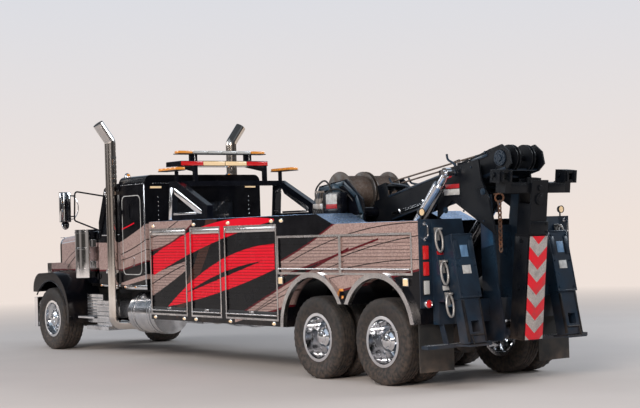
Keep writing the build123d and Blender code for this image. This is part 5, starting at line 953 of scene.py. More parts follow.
frameRibs = {
    "bands round the plate": [(addBand, first, last, (0.4995, 0.514), winchLook["band"])
                              for first, last in zip(frameSide, frameSide[1:])],
    "band across": (addBand, (-2.02, 2.06), (-3.00, 2.06), (0.4995, 0.512), winchLook["band"]),
    "bearing cap": (addTurned, [(0.0, 0.030), (0.0, 0.135), (0.018, 0.135), (0.030, 0.118), (0.044, 0.060),
                                (0.060, 0.055), (0.060, 0.0), (0.0, 0.0)], (winchX, 0.498, winchZ), (0, 1, 0),
                    40, False),
    "cap bolts": [crossPin(place, (0.512, 0.528), 0.010, 6) for place in boltPlaces],
}
makePiece("winch_frame_ribs", "chassis", "steelBlue", "black_paint", frameRibs)
valveParts = {"block": (addBox, (-2.13, -2.36), (0.54, 0.64), (2.12, 2.26), 0.008), "spools and levers": []}
for n in range(6):
    x = -2.15 - 0.036 * n
    valveParts["spools and levers"] += [(addRod, (x, 0.59, 2.25), (x, 0.59, 2.33), 0.011, 10),
                                        (addRod, (x, 0.59, 2.33), (x - 0.01, 0.60, 2.41), 0.005, 8),
                                        (addRod, (x - 0.01, 0.60, 2.41), (x - 0.01, 0.60, 2.432), 0.012, 10)]
makePiece("valve_banks", "chassis", "bareSteel", "bare_steel", valveParts)
hoseX = [-2.155 - 0.042 * n for n in range(5)]
hoseParts = {
    "short hoses": [(addTube, [(x, 0.64, 2.19 - 0.01 * n), (x - 0.02, 0.675, 2.19), (x - 0.05, 0.675, 2.15),
                               (x - 0.05, 0.66, 2.116)], 0.010, 8) for n, x in enumerate(hoseX)],
    "hose to the motor": (addTube, [(-2.14, 0.56, 2.26), (-2.02, 0.55, 2.42), (-2.25, 0.53, 2.60),
                                    (-2.42, 0.55, 2.50), (-2.46, 0.556, 2.40)], 0.012, 8),
    "hose over the frame": (addTube, [(-2.30, 0.60, 2.26), (-2.36, 0.60, 2.42), (-2.60, 0.55, 2.46),
                                      (-2.80, 0.52, 2.36), (-2.86, 0.48, 2.24)], 0.010, 8),
}
makePiece("winch_hoses", "chassis", "hoseRubber", "rubber", hoseParts, sharp=40)
cabinet = {"cabinet": (addBox, (-2.40, -2.78), (0.53, 0.66), (2.112, 2.40), 0.012),
           "sill": (addBox, (-2.44, -2.74), (0.655, 0.668), (2.145, 2.17), 0.003)}
makePiece("side_cabinets", "chassis", "blackPaint", "black_paint", cabinet)
for colour, z in (("White", (2.245, 2.375)), ("Red", (2.185, 2.243))):
    makePiece(f"{colour.lower()}_winch_plates", "chassis", f"label{colour}", "black_paint",
              {"plate": (addBox, (-2.47, -2.71), (0.659, 0.663), z, 0.001)})
print("winches fitted")


# cab and sleeper: visor, wipers, rivets, strips and lamps, door lines, handles, mirrors, stacks
cabLook = {"half": 0.96, "visor": ((3.24, 2.735), (3.60, 2.640)), "visorHalf": 0.80, "stack": (2.672, 1.148),
           "stackRadius": 0.089, "mouth": (1.353, 3.71), "mouthRadius": 0.081, "bendZ": 3.43, "slotRows": 7,
           "slotFirstZ": 2.72, "slotStep": 0.075, "slotAngles": (165, 195, 225, 255), "clampZ": (1.35, 2.60)}
sleeperLook = {"half": 1.07, "rear": 1.712, "doorX": (1.872, 2.482), "doorZ": (1.29, 2.55), "corner": 0.09,
               "lineStart": 0.004, "lineEnd": 0.016, "lampY": 0.95}


def rivetRow(start, end, count, outward, radius=0.009):
    places = [Vector(start).lerp(Vector(end), n / (count - 1)) for n in range(count)]
    return [(addRod, place, place + Vector(outward) * 0.004, radius, 8, 0.5 * radius) for place in places]


def roundedLoop(x, z, corner, steps=5):   # points (x, z) round a rectangle with round corners
    centres = ((x[1] - corner, z[1] - corner), (x[0] + corner, z[1] - corner), (x[0] + corner, z[0] + corner),
               (x[1] - corner, z[0] + corner))
    return [(cx + corner * cos(angle), cz + corner * sin(angle)) for quarter, (cx, cz) in enumerate(centres)
            for angle in (radians(90 * (quarter + n / steps)) for n in range(steps + 1))]


(backX, backZ), (tipX, tipZ) = cabLook["visor"]
visorHalf, cabHalf, sleeperHalf = cabLook["visorHalf"], cabLook["half"], sleeperLook["half"]
visorEnds = {
    "cheek": (addOutline, [(backX, backZ - 0.004), (tipX - 0.01, tipZ - 0.004), (tipX - 0.02, tipZ - 0.05),
                           (backX + 0.16, backZ - 0.09)], (visorHalf - 0.01, visorHalf), 0.002),
    "wiper arms": [(addRod, (3.560, 0.30, 2.072), (3.42, 0.10, 2.38), 0.006, 8),
                   (addRod, (3.560, 0.42, 2.072), (3.40, 0.60, 2.42), 0.006, 8)],
    "wiper shafts": [(addRod, (3.560, y, 2.052), (3.572, y, 2.087), 0.018, 12) for y in (0.30, 0.42)],
}
visorBlade = {"blade": (addOutline, [(backX, backZ), (tipX, tipZ), (tipX - 0.004, tipZ - 0.05),
                                     (tipX - 0.016, tipZ - 0.046), (tipX - 0.014, tipZ - 0.012),
                                     (backX, backZ - 0.012)],
                        (-visorHalf, visorHalf), 0.003)}
makePiece("visor_and_wipers", "chassis", "blackPaint", "black_paint", visorEnds, visorBlade)

rear, lampY = sleeperLook["rear"], sleeperLook["lampY"]
rivets = {
    "over the door": rivetRow((1.78, sleeperHalf, 2.715), (2.50, sleeperHalf, 2.715), 19, (0, 1, 0)),
    "rear corner": rivetRow((1.775, sleeperHalf, 1.20), (1.775, sleeperHalf, 2.65), 34, (0, 1, 0)),
    "across the back": rivetRow((rear, 0.16, 2.72), (rear, 0.92, 2.72), 18, (-1, 0, 0)),
    "down the back": rivetRow((rear, 0.84, 1.30), (rear, 0.84, 2.50), 18, (-1, 0, 0), 0.011),
}
makePiece("sleeper_rivets", "chassis", "polishedAlloy", "polished_alloy", rivets, sharp=40)
sillLamps = ((2.412, sleeperHalf + 0.006, 1.10), (2.082, sleeperHalf + 0.006, 1.10), (3.44, 0.9655, 1.110),
             (2.90, 0.9655, 1.110))
roofLamps = [0.31 * (n - 2) for n in range(5)]
brightStrips = {
    "sleeper sill": (addBox, (1.716, 2.558), (sleeperHalf, sleeperHalf + 0.006), (1.066, 1.132), 0.003),
    "rear corner": (addBox, (1.735, 1.762), (sleeperHalf, sleeperHalf + 0.004), (1.14, 2.70), 0.002),
    "cab sill": (addBox, (2.80, 3.49), (cabHalf, cabHalf + 0.0055), (1.094, 1.126), 0.003),
    "lamp rims": [(addDome, (x, y + 0.001, z), (0, 1, 0), 0.017, 0.005, 1.7) for x, y, z in sillLamps],
    "corner lamp": (addDome, (2.49, lampY, 2.845), (0, 0, 1), 0.050, 0.072, 1.25),
}
roofRims = {"roof lamp rims": [(addDome, (3.06, y, 2.760), (0, 0, 1), 0.030, 0.012, 1.6) for y in roofLamps]}
makePiece("cab_bright_strips", "chassis", "polishedAlloy", "polished_alloy", brightStrips, roofRims)
amberLamps = {
    "sill lamps": [(addDome, (x, y + 0.003, z), (0, 1, 0), 0.013, 0.010, 1.9) for x, y, z in sillLamps],
    "corner lens": (addDome, (2.452, lampY, 2.873), (-1, 0, 0), 0.030, 0.026),
}
roofLenses = {"roof lenses": [(addDome, (3.06, y, 2.765), (0, 0, 1), 0.020, 0.026, 1.8) for y in roofLamps]}
makePiece("cab_amber_lamps", "chassis", "amberLens", "lamp_lens", amberLamps, roofLenses, 40)
makePiece("sleeper_rear_lamps", "chassis", "warmLens", "lamp_lens",
          {"lamp": (addBox, (rear + 0.0005, rear - 0.006), (0.78, 0.98), (2.640, 2.672), 0.004)})


def insetLoop(loop, inset):   # the loop drawn in towards the door's middle
    middleX, middleZ = (sum(sleeperLook[key]) / 2 for key in ("doorX", "doorZ"))
    return [(x + (inset if x < middleX else -inset), z + (inset if z < middleZ else -inset)) for x, z in loop]


for name, side in sides:
    bm = bmesh.new()   # painted line round the sleeper door
    loop = roundedLoop(sleeperLook["doorX"], sleeperLook["doorZ"], sleeperLook["corner"])
    lineY = side * (sleeperHalf + 0.002)
    outer, inner = ([bm.verts.new((x, lineY, z)) for x, z in insetLoop(loop, sleeperLook[key])]
                    for key in ("lineStart", "lineEnd"))
    for n in range(len(loop)):
        after = (n + 1) % len(loop)
        bm.faces.new((outer[n], outer[after], inner[after], inner[n]))
    bmesh.ops.recalc_face_normals(bm, faces=bm.faces)
    bmesh.ops.solidify(bm, geom=bm.faces[:], thickness=0.0025)
    finishPiece(bm, f"sleeper_door_line_{name}", f"sleeper_door_{name}", "labelWhite", "black_paint")
    wall = side * sleeperHalf
    latch = {"plate": (addBox, (2.100, 2.164), (wall, wall + side * 0.010), (1.432, 1.568), 0.004),
             "paddle": (addBox, (2.112, 2.152), (wall + side * 0.009, wall + side * 0.016), (1.452, 1.548),
                        0.004)}
    makePiece(f"sleeper_door_latch_{name}", f"sleeper_door_{name}", "chrome", "chrome", None, latch)
    wall = side * cabHalf
    handle = {
        "plate": (addBox, (2.872, 2.992), (wall, wall + side * 0.005), (1.622, 1.683), 0.004),
        "grip": (addBox, (2.882, 2.982), (wall + side * 0.004, wall + side * 0.026), (1.636, 1.669), 0.007),
        "key hole": (addTurned, [(0, 0.011), (side * 0.006, 0.011), (side * 0.006, 0.004), (0, 0.004)],
                     (2.93, wall, 1.585), (0, 1, 0), 20),
        "window strip": (addBox, (2.815, 3.50), (wall, wall + side * 0.005), (1.925, 1.943), 0.002),
    }
    makePiece(f"cab_door_handle_{name}", f"cab_door_{name}", "chrome", "chrome", None, handle)

mirrorShells = {   # a flat and a round mirror, facing back
    "shell": (addBox, (3.700, 3.766), (1.356, 1.542), (2.166, 2.664), 0.018),
    "round shell": (addTurned, [(0, 0.0), (0, 0.060), (-0.012, 0.062), (-0.030, 0.045), (-0.040, 0.0)],
                    (3.722, 1.45, 2.106), (-1, 0, 0), 32, False),
    "brace": (addTube, [(3.736, 1.345, 2.60), (3.74, 1.28, 2.62), (3.70, 1.20, 2.40), (3.74, 1.28, 2.20),
                        (3.736, 1.345, 2.22)], 0.008, 10),
}
mirrorFaces = {"flat": (addBox, (3.697, 3.701), (1.372, 1.526), (2.186, 2.644), 0.002),
               "round": (addDome, (3.720, 1.45, 2.106), (-1, 0, 0), 0.055, 0.010)}
makePiece("mirror_shells", "chassis", "chrome", "chrome", mirrorShells, sharp=35)
makePiece("mirror_faces", "chassis", "mirrorGlass", "chrome", mirrorFaces, sharp=35)

stackX, stackY = cabLook["stack"]
mouthY, mouthZ = cabLook["mouth"]
slots = []
for angle in cabLook["slotAngles"]:   # dark plates over the heat shield's slots: painted shade of the holes
    turn = Matrix.Rotation(radians(angle), 3, "Z")
    x, y, _ = Vector((stackX, stackY, 0)) + turn @ Vector((cabLook["stackRadius"] + 0.001, 0, 0))
    for n in range(cabLook["slotRows"]):
        z = cabLook["slotFirstZ"] + cabLook["slotStep"] * n
        slots.append((addBox, (x - 0.002, x + 0.002), (y - 0.013, y + 0.013), (z - 0.026, z + 0.026), 0.0019,
                      turn))
reach = Vector((0, mouthY - stackY, mouthZ - cabLook["bendZ"])).normalized()
mouth = Vector((stackX, mouthY, mouthZ))
# the stack's dark parts: plates at the slots are painted shade of the holes; the disc in the mouth is soot
# and painted shade inside the pipe
stackHoleShade = {"slots": slots,
             "mouth": (addRod, mouth - reach * 0.006, mouth + reach * 0.0012, cabLook["mouthRadius"], 36)}
clamps = {
    "bolts": [(addRod, (stackX + 0.085, stackY + 0.055, z), (stackX + 0.135, stackY + 0.055, z), 0.008, 6)
              for z in cabLook["clampZ"]],
    "ears": [(addBox, (stackX + 0.085, stackX + 0.125), (stackY + y, stackY + y + 0.005),
              (z - 0.028, z + 0.028), 0.002)
             for z in cabLook["clampZ"] for y in (0.045, 0.060)],
}
makePiece("stack_clamps", "chassis", "chrome", "chrome", clamps)
makePiece("stack_slot_and_mouth_shade", "chassis", "castMetalAndHoleShade", "chrome", stackHoleShade)
print("cab and sleeper fitted")


# hood and nose: bright edge strips, side louvres, fender lips, grille strips, lamp lenses, bumper fittings
hoodLook = {"stripFront": (5.70, 0.556, 1.815), "stripBack": (3.86, 0.728, 1.928), "louvres": 9,
            "louvreX": 4.16, "louvreStep": 0.060, "sideFront": (5.722, 0.56), "sideBack": (3.848, 0.735),
            "louvreTurn": -14, "arch": (4.922, 0.53), "archRadius": 0.655, "archY": 1.196,
            "lampY": (0.734, 0.876), "lampZ": 1.405}
stripFront, stripBack = Vector(hoodLook["stripFront"]), Vector(hoodLook["stripBack"])
(frontSideX, frontSideY), (backSideX, backSideY) = hoodLook["sideFront"], hoodLook["sideBack"]
louvreTurn = Matrix.Rotation(radians(hoodLook["louvreTurn"]), 3, "Z")
louvres = []
for n in range(hoodLook["louvres"]):
    x = hoodLook["louvreX"] + hoodLook["louvreStep"] * n
    y = frontSideY + (frontSideX - x) / (frontSideX - backSideX) * (backSideY - frontSideY)
    louvres.append((addBox, (x - 0.018, x + 0.012), (y - 0.006, y + 0.010), (1.46, 1.62), 0.006, louvreTurn))
archX, archZ = hoodLook["arch"]
archRoute = [(archX + hoodLook["archRadius"] * cos(radians(a)), hoodLook["archY"],
              archZ + hoodLook["archRadius"] * sin(radians(a))) for a in range(38, 166, 8)]
brightTrim = {
    "edge strip": (addTube, [stripFront, (stripFront + stripBack) / 2, stripBack], 0.009, 10),
    "headlamp rims": [(addTurned, [(0, 0.060), (0.010, 0.068), (0.020, 0.066), (0.024, 0.056)],
                       (5.484, y, hoodLook["lampZ"]), (1, 0, 0), 32) for y in hoodLook["lampY"]],
}
grilleStrips = {"grille strips": [(addBox, (5.775, 5.788), (-0.55, 0.55), (z - 0.006, z + 0.006), 0.003)
                                  for z in (0.962, 1.918)]}
makePiece("hood_bright_trim", "hood", "chrome", "chrome", brightTrim, grilleStrips, 35)
louvreParts = {"louvres": louvres, "latch": (addBox, (3.885, 3.915), (0.722, 0.752), (1.30, 1.42), 0.008),
               "fender lip": (addTube, archRoute, 0.012, 10)}
makePiece("hood_louvres", "hood", "blackPaint", "black_paint", louvreParts, sharp=35)
makePiece("headlamp_lenses", "hood", "clearLens", "lamp_lens",
          {"lenses": [(addDome, (5.494, y, hoodLook["lampZ"]), (1, 0, 0), 0.057, 0.018)
                      for y in hoodLook["lampY"]]},
          sharp=40)
makePiece("turn_signal_lenses", "hood", "amberLens", "lamp_lens",
          {"lens": (addBox, (5.482, 5.496), (0.66, 0.95), (1.285, 1.325), 0.008)}, sharp=40)
bumperParts = {
    "lamp rims": [(addTurned, [(0, 0.030), (0, 0.046), (0.010, 0.046), (0.012, 0.038)], (5.852, y, 0.63),
                   (1, 0, 0), 28)
                  for y in (0.80, 0.62)],
    "vent plate": (addBox, (5.850, 5.858), (0.30, 0.46), (0.55, 0.71), 0.003),
    "bolts": [(addRod, (5.850, 0.98, z), (5.860, 0.98, z), 0.014, 12) for z in (0.47, 0.79)],
}
makePiece("bumper_fittings", "chassis", "chrome", "chrome", bumperParts, sharp=35)
makePiece("fog_lamp_lenses", "chassis", "warmLens", "lamp_lens",
          {"lenses": [(addDome, (5.855, y, 0.63), (1, 0, 0), 0.036, 0.008) for y in (0.80, 0.62)]}, sharp=40)
print("nose fitted")


# body: roll housings and latch panels in the shutter bays, tread plate on the top, lamps between the arches
bodyLook = {"bays": ((1.272, 0.262), (0.092, -0.678), (-0.838, -2.0895)), "bayFloor": 0.735,
            "squareX": (-2.212, -4.819), "markerX": -3.52, "markerZ": (1.145, 1.057),
            "tankX": (2.10, 2.024, 1.62, 1.544), "tank": (0.83, 0.70), "fillerTilt": radians(50),
            "fillerReach": 0.32}
bays, bayFloor = bodyLook["bays"], bodyLook["bayFloor"]
bayMiddles = [(front + rear) / 2 for front, rear in bays]
housings = {
    "roll covers": [(addBox, (front - 0.004, rear + 0.004), (1.222, 1.236), (1.905, 1.972), 0.004)
                    for front, rear in bays],
    "latch bars": [(addBox, (x - 0.055, x + 0.055), (1.2335, 1.2445), (bayFloor + 0.064, bayFloor + 0.088),
                    0.004)
                   for x in bayMiddles],
    "square lamps": [(addBox, (x - 0.052, x + 0.052), (1.2355, 1.262), (1.205, 1.300), 0.006)
                     for x in bodyLook["squareX"]],
}
makePiece("roll_housings", "chassis", "frameAlloy", "shutter_alloy", housings)
latches = {"panels": [(addBox, (front - 0.010, rear + 0.010), (1.2225, 1.2335),
                       (bayFloor + 0.006, bayFloor + 0.094), 0.003)
                      for front, rear in bays]}
makePiece("latch_panels", "chassis", "darkPlastic", "trim_plastic", latches)
# their blue tint is a painted reflection of the sky, not the plate's own colour
topTread = {
    "rear top": (addBox, (-3.372, -5.036), (0.66, 1.226), (1.9752, 1.9792), 0.001),
    "slope": (addOutline, [(-3.024, 2.1115), (-3.356, 1.9795), (-3.3575, 1.9765), (-3.026, 2.1085)],
              (0.66, 1.226), 0.0),
    "front top": (addBox, (1.28, -2.98), (0.70, 1.226), (2.1105, 2.1140), 0.001),
}
makePiece("top_tread_plates", "chassis", "treadPlatePaintedSky", "polished_alloy", topTread)
markerX = bodyLook["markerX"]
makePiece("arch_markers", "chassis", "amberLens", "lamp_lens",
          {"markers": [(addBox, (markerX - 0.042, markerX + 0.042), (1.2352, 1.2412), (z - 0.016, z + 0.016),
                        0.004)
                       for z in bodyLook["markerZ"]]})
makePiece("square_lamp_faces", "chassis", "warmLens", "lamp_lens",
          {"faces": [(addBox, (x - 0.044, x + 0.044), (1.2615, 1.2645), (1.212, 1.292), 0.002)
                     for x in bodyLook["squareX"]]})
makePiece("deck_tread", "chassis", "stepPlate", "polished_alloy", None,
          {"deck": (addBox, (1.29, -1.90), (-0.665, 0.665), (2.1165, 2.1195), 0.001)})
tankY, tankZ = bodyLook["tank"]
fillerOut = (0, cos(bodyLook["fillerTilt"]), sin(bodyLook["fillerTilt"]))
fillerReach = bodyLook["fillerReach"]
stepParts = {
    "lower tread": (addBox, (2.80, 3.545), (0.59, 1.195), (0.4625, 0.4655), 0.001),
    "upper tread": (addBox, (3.37, 3.915), (0.965, 1.165), (0.6035, 0.6065), 0.001),
    "lower ribs": [(addBox, (2.815, 3.290), (1.130, 1.136), (0.500 + 0.060 * n, 0.524 + 0.060 * n), 0.003)
                   for n in range(6)],
    "upper ribs": [(addBox, (3.415, 3.950), (0.970, 0.976), (0.640 + 0.050 * n, 0.660 + 0.050 * n), 0.003)
                   for n in range(6)],
    "tank strap rims": [(addTorus, (x, tankY, tankZ), (1, 0, 0), 0.3235, 0.004, 48, 6)
                        for x in bodyLook["tankX"]],
    "filler cap": (addTurned, [(0, 0.0), (0, 0.052), (0.020, 0.052), (0.026, 0.044), (0.034, 0.040),
                               (0.034, 0.0)],
                   (1.90, tankY + fillerReach * fillerOut[1], tankZ + fillerReach * fillerOut[2] - 0.004),
                   fillerOut, 28, False),
}
makePiece("step_treads", "chassis", "stepPlate", "polished_alloy", stepParts)
print("body fitted")


# tower and light board: bright faces, lamp feet, blue band
towerY = (1.0005, 1.0045)
towerFaces = {
    "foot strip": (addBox, (0.30, 0.98), (1.0005, 1.0040), (2.20, 2.23), 0.001),
    "post": (addOutline, [(1.120, 2.13), (1.070, 2.62), (0.990, 2.62), (1.035, 2.13)], towerY, 0.001),
    "brace": (addOutline, [(0.995, 2.62), (0.90, 2.60), (0.16, 2.255), (0.16, 2.20), (0.30, 2.215),
                           (0.92, 2.51)],
              towerY, 0.001),
    "lamp feet": [(addRod, (x, 0.5, 3.03), (x, 0.5, 3.14), 0.008, 10) for x in (1.14, 1.24)],
}
makePiece("tower_faces", "chassis", "polishedAlloy", "polished_alloy", towerFaces)
boardBand = {"front edge": (addBox, (1.500, 1.506), (-0.79, 0.79), (2.962, 3.024), 0.002),
             "top": (addBox, (1.066, 1.500), (-0.79, 0.79), (3.0305, 3.0340), 0.001)}
makePiece("board_band", "chassis", "bluePaint", "black_paint", None, boardBand)


# boom: edge strips, pipes, blank plates, rope horns, bosses and bolts, and the fittings of its head
boomEdges = {"strips": [(addLeaning, boomPoint, (0.32, 2.02), up, (0.180, 0.186), 0.002)
                        for up in ((0.120, 0.146), (-0.184, -0.166))]}
makePiece("boom_edges", "boom", "tailPaint", "frame_paint", boomEdges)
pipePlaces = ((0.34, -0.10), (0.8, -0.115), (1.4, -0.11), (1.98, -0.10))
pipeRoute = [atY(boomPoint(*place), 0.194) for place in pipePlaces]
boomPipes = {
    "pipes": [(addTube, [(x, y, z - drop) for x, y, z in pipeRoute], 0.008, 8) for drop in (0, 0.022)],
    "clips": [(addLeaning, boomPoint, (along - 0.02, along + 0.02), (-0.150, -0.085), (0.180, 0.206), 0.002)
              for along in (0.5, 1.0, 1.5)],
}
makePiece("boom_pipes", "boom", "chrome", "chrome", boomPipes)
for colour, z in (("Red", (2.360, 2.412)), ("White", (2.280, 2.352))):
    makePiece(f"{colour.lower()}_cheek_plates", "boom", f"label{colour}", "black_paint",
              {"plate": (addBox, (-4.60, -4.88), (0.4198, 0.4225), z, 0.001)})
hornRoutes = {0.165: ((-3.66, 2.415), (-3.52, 2.455), (-3.34, 2.475), (-3.24, 2.495), (-3.215, 2.56)),
              0.405: ((-4.83, 2.61), (-4.77, 2.67), (-4.69, 2.70), (-4.655, 2.73), (-4.65, 2.785))}
cheekBosses = ((-4.792, 2.546), (-4.62, 2.10), (-5.30, 2.30))
cheekBolts = ((-4.70, 2.53), (-5.10, 2.60), (-5.30, 1.95), (-4.95, 2.08))
boomHorns = {
    "horns": [(addTube, [atY(place, y) for place in route], 0.014, 10) for y, route in hornRoutes.items()],
    "bosses": [crossPin(place, y, radius, segments) for place in cheekBosses
               for y, radius, segments in (((0.418, 0.430), 0.040, 24), ((0.428, 0.440), 0.022, 6))],
    "bolts": [crossPin(place, (0.418, 0.430), 0.012, 6) for place in cheekBolts],
}
makePiece("boom_horns", "boom", "tailPaint", "frame_paint", boomHorns)
headLook = {"pin": boomPoint(2.602, 0.022), "bolts": 8, "boltCircle": 0.076, "faceY": (0.2795, 0.289)}
pinX, pinZ = headLook["pin"]
boltTurns = [2 * pi * n / headLook["bolts"] for n in range(headLook["bolts"])]
headSides = {
    "pin boss": crossPin((pinX, pinZ), (0.279, 0.296), 0.095, 36),
    "pin end": crossPin((pinX, pinZ), (0.294, 0.310), 0.042, 6),
    "boss bolts": [crossPin((pinX + headLook["boltCircle"] * cos(a), pinZ + headLook["boltCircle"] * sin(a)),
                            (0.295, 0.303), 0.009, 6) for a in boltTurns],
    "upper rail": (addLeaning, boomPoint, (2.10, 2.40), (0.10, 0.135), headLook["faceY"], 0.003),
    "lower rail": (addLeaning, boomPoint, (2.10, 2.66), (-0.135, -0.10), headLook["faceY"], 0.003),
}
headTies = {"ties": [crossPin(boomPoint(*place), (-0.288, 0.288), 0.014, 14)
                     for place in ((2.20, 0.155), (2.36, 0.162), (2.62, -0.128), (2.30, -0.128))]}
makePiece("head_fittings", "boom_extension", "tailPaint", "frame_paint", headSides, headTies)
print("boom fitted")


# cab interior: stuffed seats and bunk, and the hard parts under and in front of them
seatLook = {"y": 0.45, "half": 0.23, "seamY": 0.12, "seamZ": 1.98, "cushionX": (2.912, 3.372),
            "cushionZ": (1.45, 1.60), "backX": (2.912, 3.042), "backZ": (1.56, 2.23), "voxel": 0.012,
            "cap": 0.008}
bunkLook = {"x": (1.762, 2.512), "y": (-1.02, -0.36), "z": (1.40, 1.63), "seams": (-0.58, -0.80),
            "voxel": 0.016, "cap": 0.006}
padLook = {"margin": 0.012, "bevel": 0.028, "pressure": 4.0, "frames": 20, "seamWidth": 0.020,
           "seamDepth": 0.008, "smoothing": 0.25}


def swellPad(pad, voxel):   # cloth pressure on a remeshed copy; the result comes back as a mesh
    remesh = pad.modifiers.new("remesh", "REMESH")
    remesh.mode = "VOXEL"
    remesh.voxel_size = voxel
    cloth = pad.modifiers.new("cloth", "CLOTH")
    cloth.settings.use_pressure = True
    cloth.settings.uniform_pressure_force = padLook["pressure"]
    cloth.settings.effector_weights.gravity = 0.0
    cloth.point_cache.frame_start, cloth.point_cache.frame_end = 1, padLook["frames"]
    for step in range(1, padLook["frames"] + 1):
        bpy.context.scene.frame_set(step)
    shape = bpy.data.meshes.new_from_object(pad.evaluated_get(bpy.context.evaluated_depsgraph_get()))
    pad.modifiers.clear()
    bpy.context.scene.frame_set(1)
    return shape


def makePad(name, x, y, z, look, seams):   # seams: (axis, place) of each sewn line
    shrink = padLook["margin"]
    bm = bmesh.new()
    addBox(bm, *((low + shrink, high - shrink) for low, high in (x, y, z)), padLook["bevel"])
    mesh = bpy.data.meshes.new(name)
    bm.to_mesh(mesh)
    bm.free()
    pad = bpy.data.objects.new(name, mesh)
    bpy.context.scene.collection.objects.link(pad)
    shape = swellPad(pad, look["voxel"])
    bm = bmesh.new()
    bm.from_mesh(shape)
    cap = look["cap"]
    for vert in bm.verts:   # the swelling is held to the cap, and the underside rests flat
        for n, (low, high) in enumerate((x, y, z)):
            vert.co[n] = min(max(vert.co[n], low - (cap if n < 2 else 0.0)), high + cap)
        for axis, place in seams:
            share = abs(vert.co[axis] - place) / padLook["seamWidth"]
            if share < 1:
                vert.co -= vert.normal * padLook["seamDepth"] * (1 - share) ** 2
    bmesh.ops.smooth_vert(bm, verts=bm.verts, factor=padLook["smoothing"], use_axis_x=True, use_axis_y=True,
                          use_axis_z=True)
    bmesh.ops.recalc_face_normals(bm, faces=bm.faces)
    for face in bm.faces:
        face.smooth = True
    bm.to_mesh(mesh)
    bm.free()
    bpy.data.meshes.remove(shape)
    mesh.materials.append(finishes["seatCloth"])
    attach(pad, "chassis")
    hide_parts("cab_interior")


for name, side in sides:
    middle = side * seatLook["y"]
    across = (middle - seatLook["half"], middle + seatLook["half"])
    seams = [(1, middle - seatLook["seamY"]), (1, middle + seatLook["seamY"])]
    makePad(f"seat_cushion_{name}", seatLook["cushionX"], across, seatLook["cushionZ"], seatLook, seams)
    makePad(f"seat_back_{name}", seatLook["backX"], across, seatLook["backZ"], seatLook,
            seams + [(2, seatLook["seamZ"])])
makePad("bunk_mattress", bunkLook["x"], bunkLook["y"], bunkLook["z"], bunkLook,
        [(1, y) for y in bunkLook["seams"]])

seatY = seatLook["y"]
pedestals = {
    "floor plate": (addBox, (2.992, 3.292), (seatY - 0.17, seatY + 0.17), (1.15, 1.20), 0.008),
    "column": (addBox, (3.012, 3.272), (seatY - 0.15, seatY + 0.15), (1.19, 1.42), 0.020),
    "bellows": [(addBox, (3.002, 3.282), (seatY - 0.16, seatY + 0.16), (1.205 + 0.044 * n, 1.225 + 0.044 * n),
                 0.008)
                for n in range(5)],
    "seat frame": (addBox, (2.972, 3.312), (seatY - 0.18, seatY + 0.18), (1.42, 1.452), 0.008),
}
bunkBase = {
    "bunk box": (addBox, bunkLook["x"], bunkLook["y"], (1.11, 1.398), 0.012),
    "locker doors": [(addBox, x, (-0.368, -0.352), (1.15, 1.36), 0.006)
                     for x in ((1.80, 2.12), (2.15, 2.47))],
    "steering column": (addRod, (3.442, seatY, 1.70), (3.288, seatY, 1.884), 0.016, 20),
    "column cover": (addRod, (3.442, seatY, 1.70), (3.36, seatY, 1.798), 0.034, 24, 0.026),
}
makePiece("seat_bases", "chassis", "darkPlastic", "trim_plastic", pedestals, bunkBase,
          replaces=["cab_interior"])
dash = {
    "dash": (addOutline, [(3.782, 1.56), (3.782, 1.88), (3.462, 1.88), (3.402, 1.82), (3.432, 1.56)],
             (-0.675, 0.675), 0.016),
    "gauges": [(addTurned, [(0, 0.030), (0, 0.042), (-0.010, 0.042), (-0.012, 0.036)], (3.408, y, 1.765),
                (-1, 0, 0.11), 24)
               for y in (0.30, 0.45, 0.60)],
    "switches": [(addBox, (3.404, 3.420), (-0.02 - 0.045 * n, 0.012 - 0.045 * n), (1.735, 1.79), 0.004)
                 for n in range(7)],
    "cubby": (addBox, (3.404, 3.425), (-0.62, -0.36), (1.62, 1.76), 0.010),
}
makePiece("dashboard", "chassis", "darkPlastic", "trim_plastic", None, dash, replaces=["cab_interior"])
print("interior made")


# stage, light and camera: focal length in pixels of the photo, the camera's place from the front axle
shot = {"place": (-23.0576, 12.1527, 1.8728), "yaw": -36.021, "pitch": 1.12, "roll": -1.736,
        "focal": 1454.8825, "imageWidth": 640, "sensor": 36.0, "farthest": 400}
backdropLook = {"low": (0.86, 0.76, 0.70), "high": (0.60, 0.70, 0.83), "rise": 0.30, "near": 9.0, "far": 24.0,
                "floor": (0.66, 0.60, 0.56), "floorShade": 0.96, "floorHalf": 60, "ambient": 0.55}


def seenDirectly(tree):   # 1 for the camera, and for what metal and glass show
    paths = addNode(tree, "ShaderNodeLightPath").outputs
    direct = calc(tree, "MAXIMUM", paths["Is Camera Ray"], paths["Is Glossy Ray"])
    return calc(tree, "MAXIMUM", direct, paths["Is Transmission Ray"])


def closeTree(tree, factor, first, second, kind):   # the output node over a mix of two shaders
    blend = addNode(tree, "ShaderNodeMixShader", {0: factor, 1: first.outputs[0], 2: second.outputs[0]})
    addNode(tree, kind, {"Surface": blend.outputs[0]})


def makeStageFinish(name):   # lit near the truck, the backdrop's tone far off, so that no horizon shows
    look = backdropLook
    material = bpy.data.materials.new(name)
    material.use_nodes = True
    tree = material.node_tree
    tree.nodes.clear()
    point = objectPoint(tree)
    patches = ramp(tree, noise(tree, point, 0.7, 4.0), 0.3, 0.7)
    tone = mixColour(tree, patches, look["floor"], scaled(look["floor"], look["floorShade"]))
    diffuse = addNode(tree, "ShaderNodeBsdfDiffuse", {"Color": tone})
    glow = addNode(tree, "ShaderNodeEmission", {"Color": (*look["low"], 1), "Strength": 1.0})
    distance = addNode(tree, "ShaderNodeVectorMath", {0: point}, operation="LENGTH").outputs["Value"]
    fade = calc(tree, "MULTIPLY", ramp(tree, distance, look["near"], look["far"]), seenDirectly(tree))
    closeTree(tree, fade, diffuse, glow, "ShaderNodeOutputMaterial")
    return material


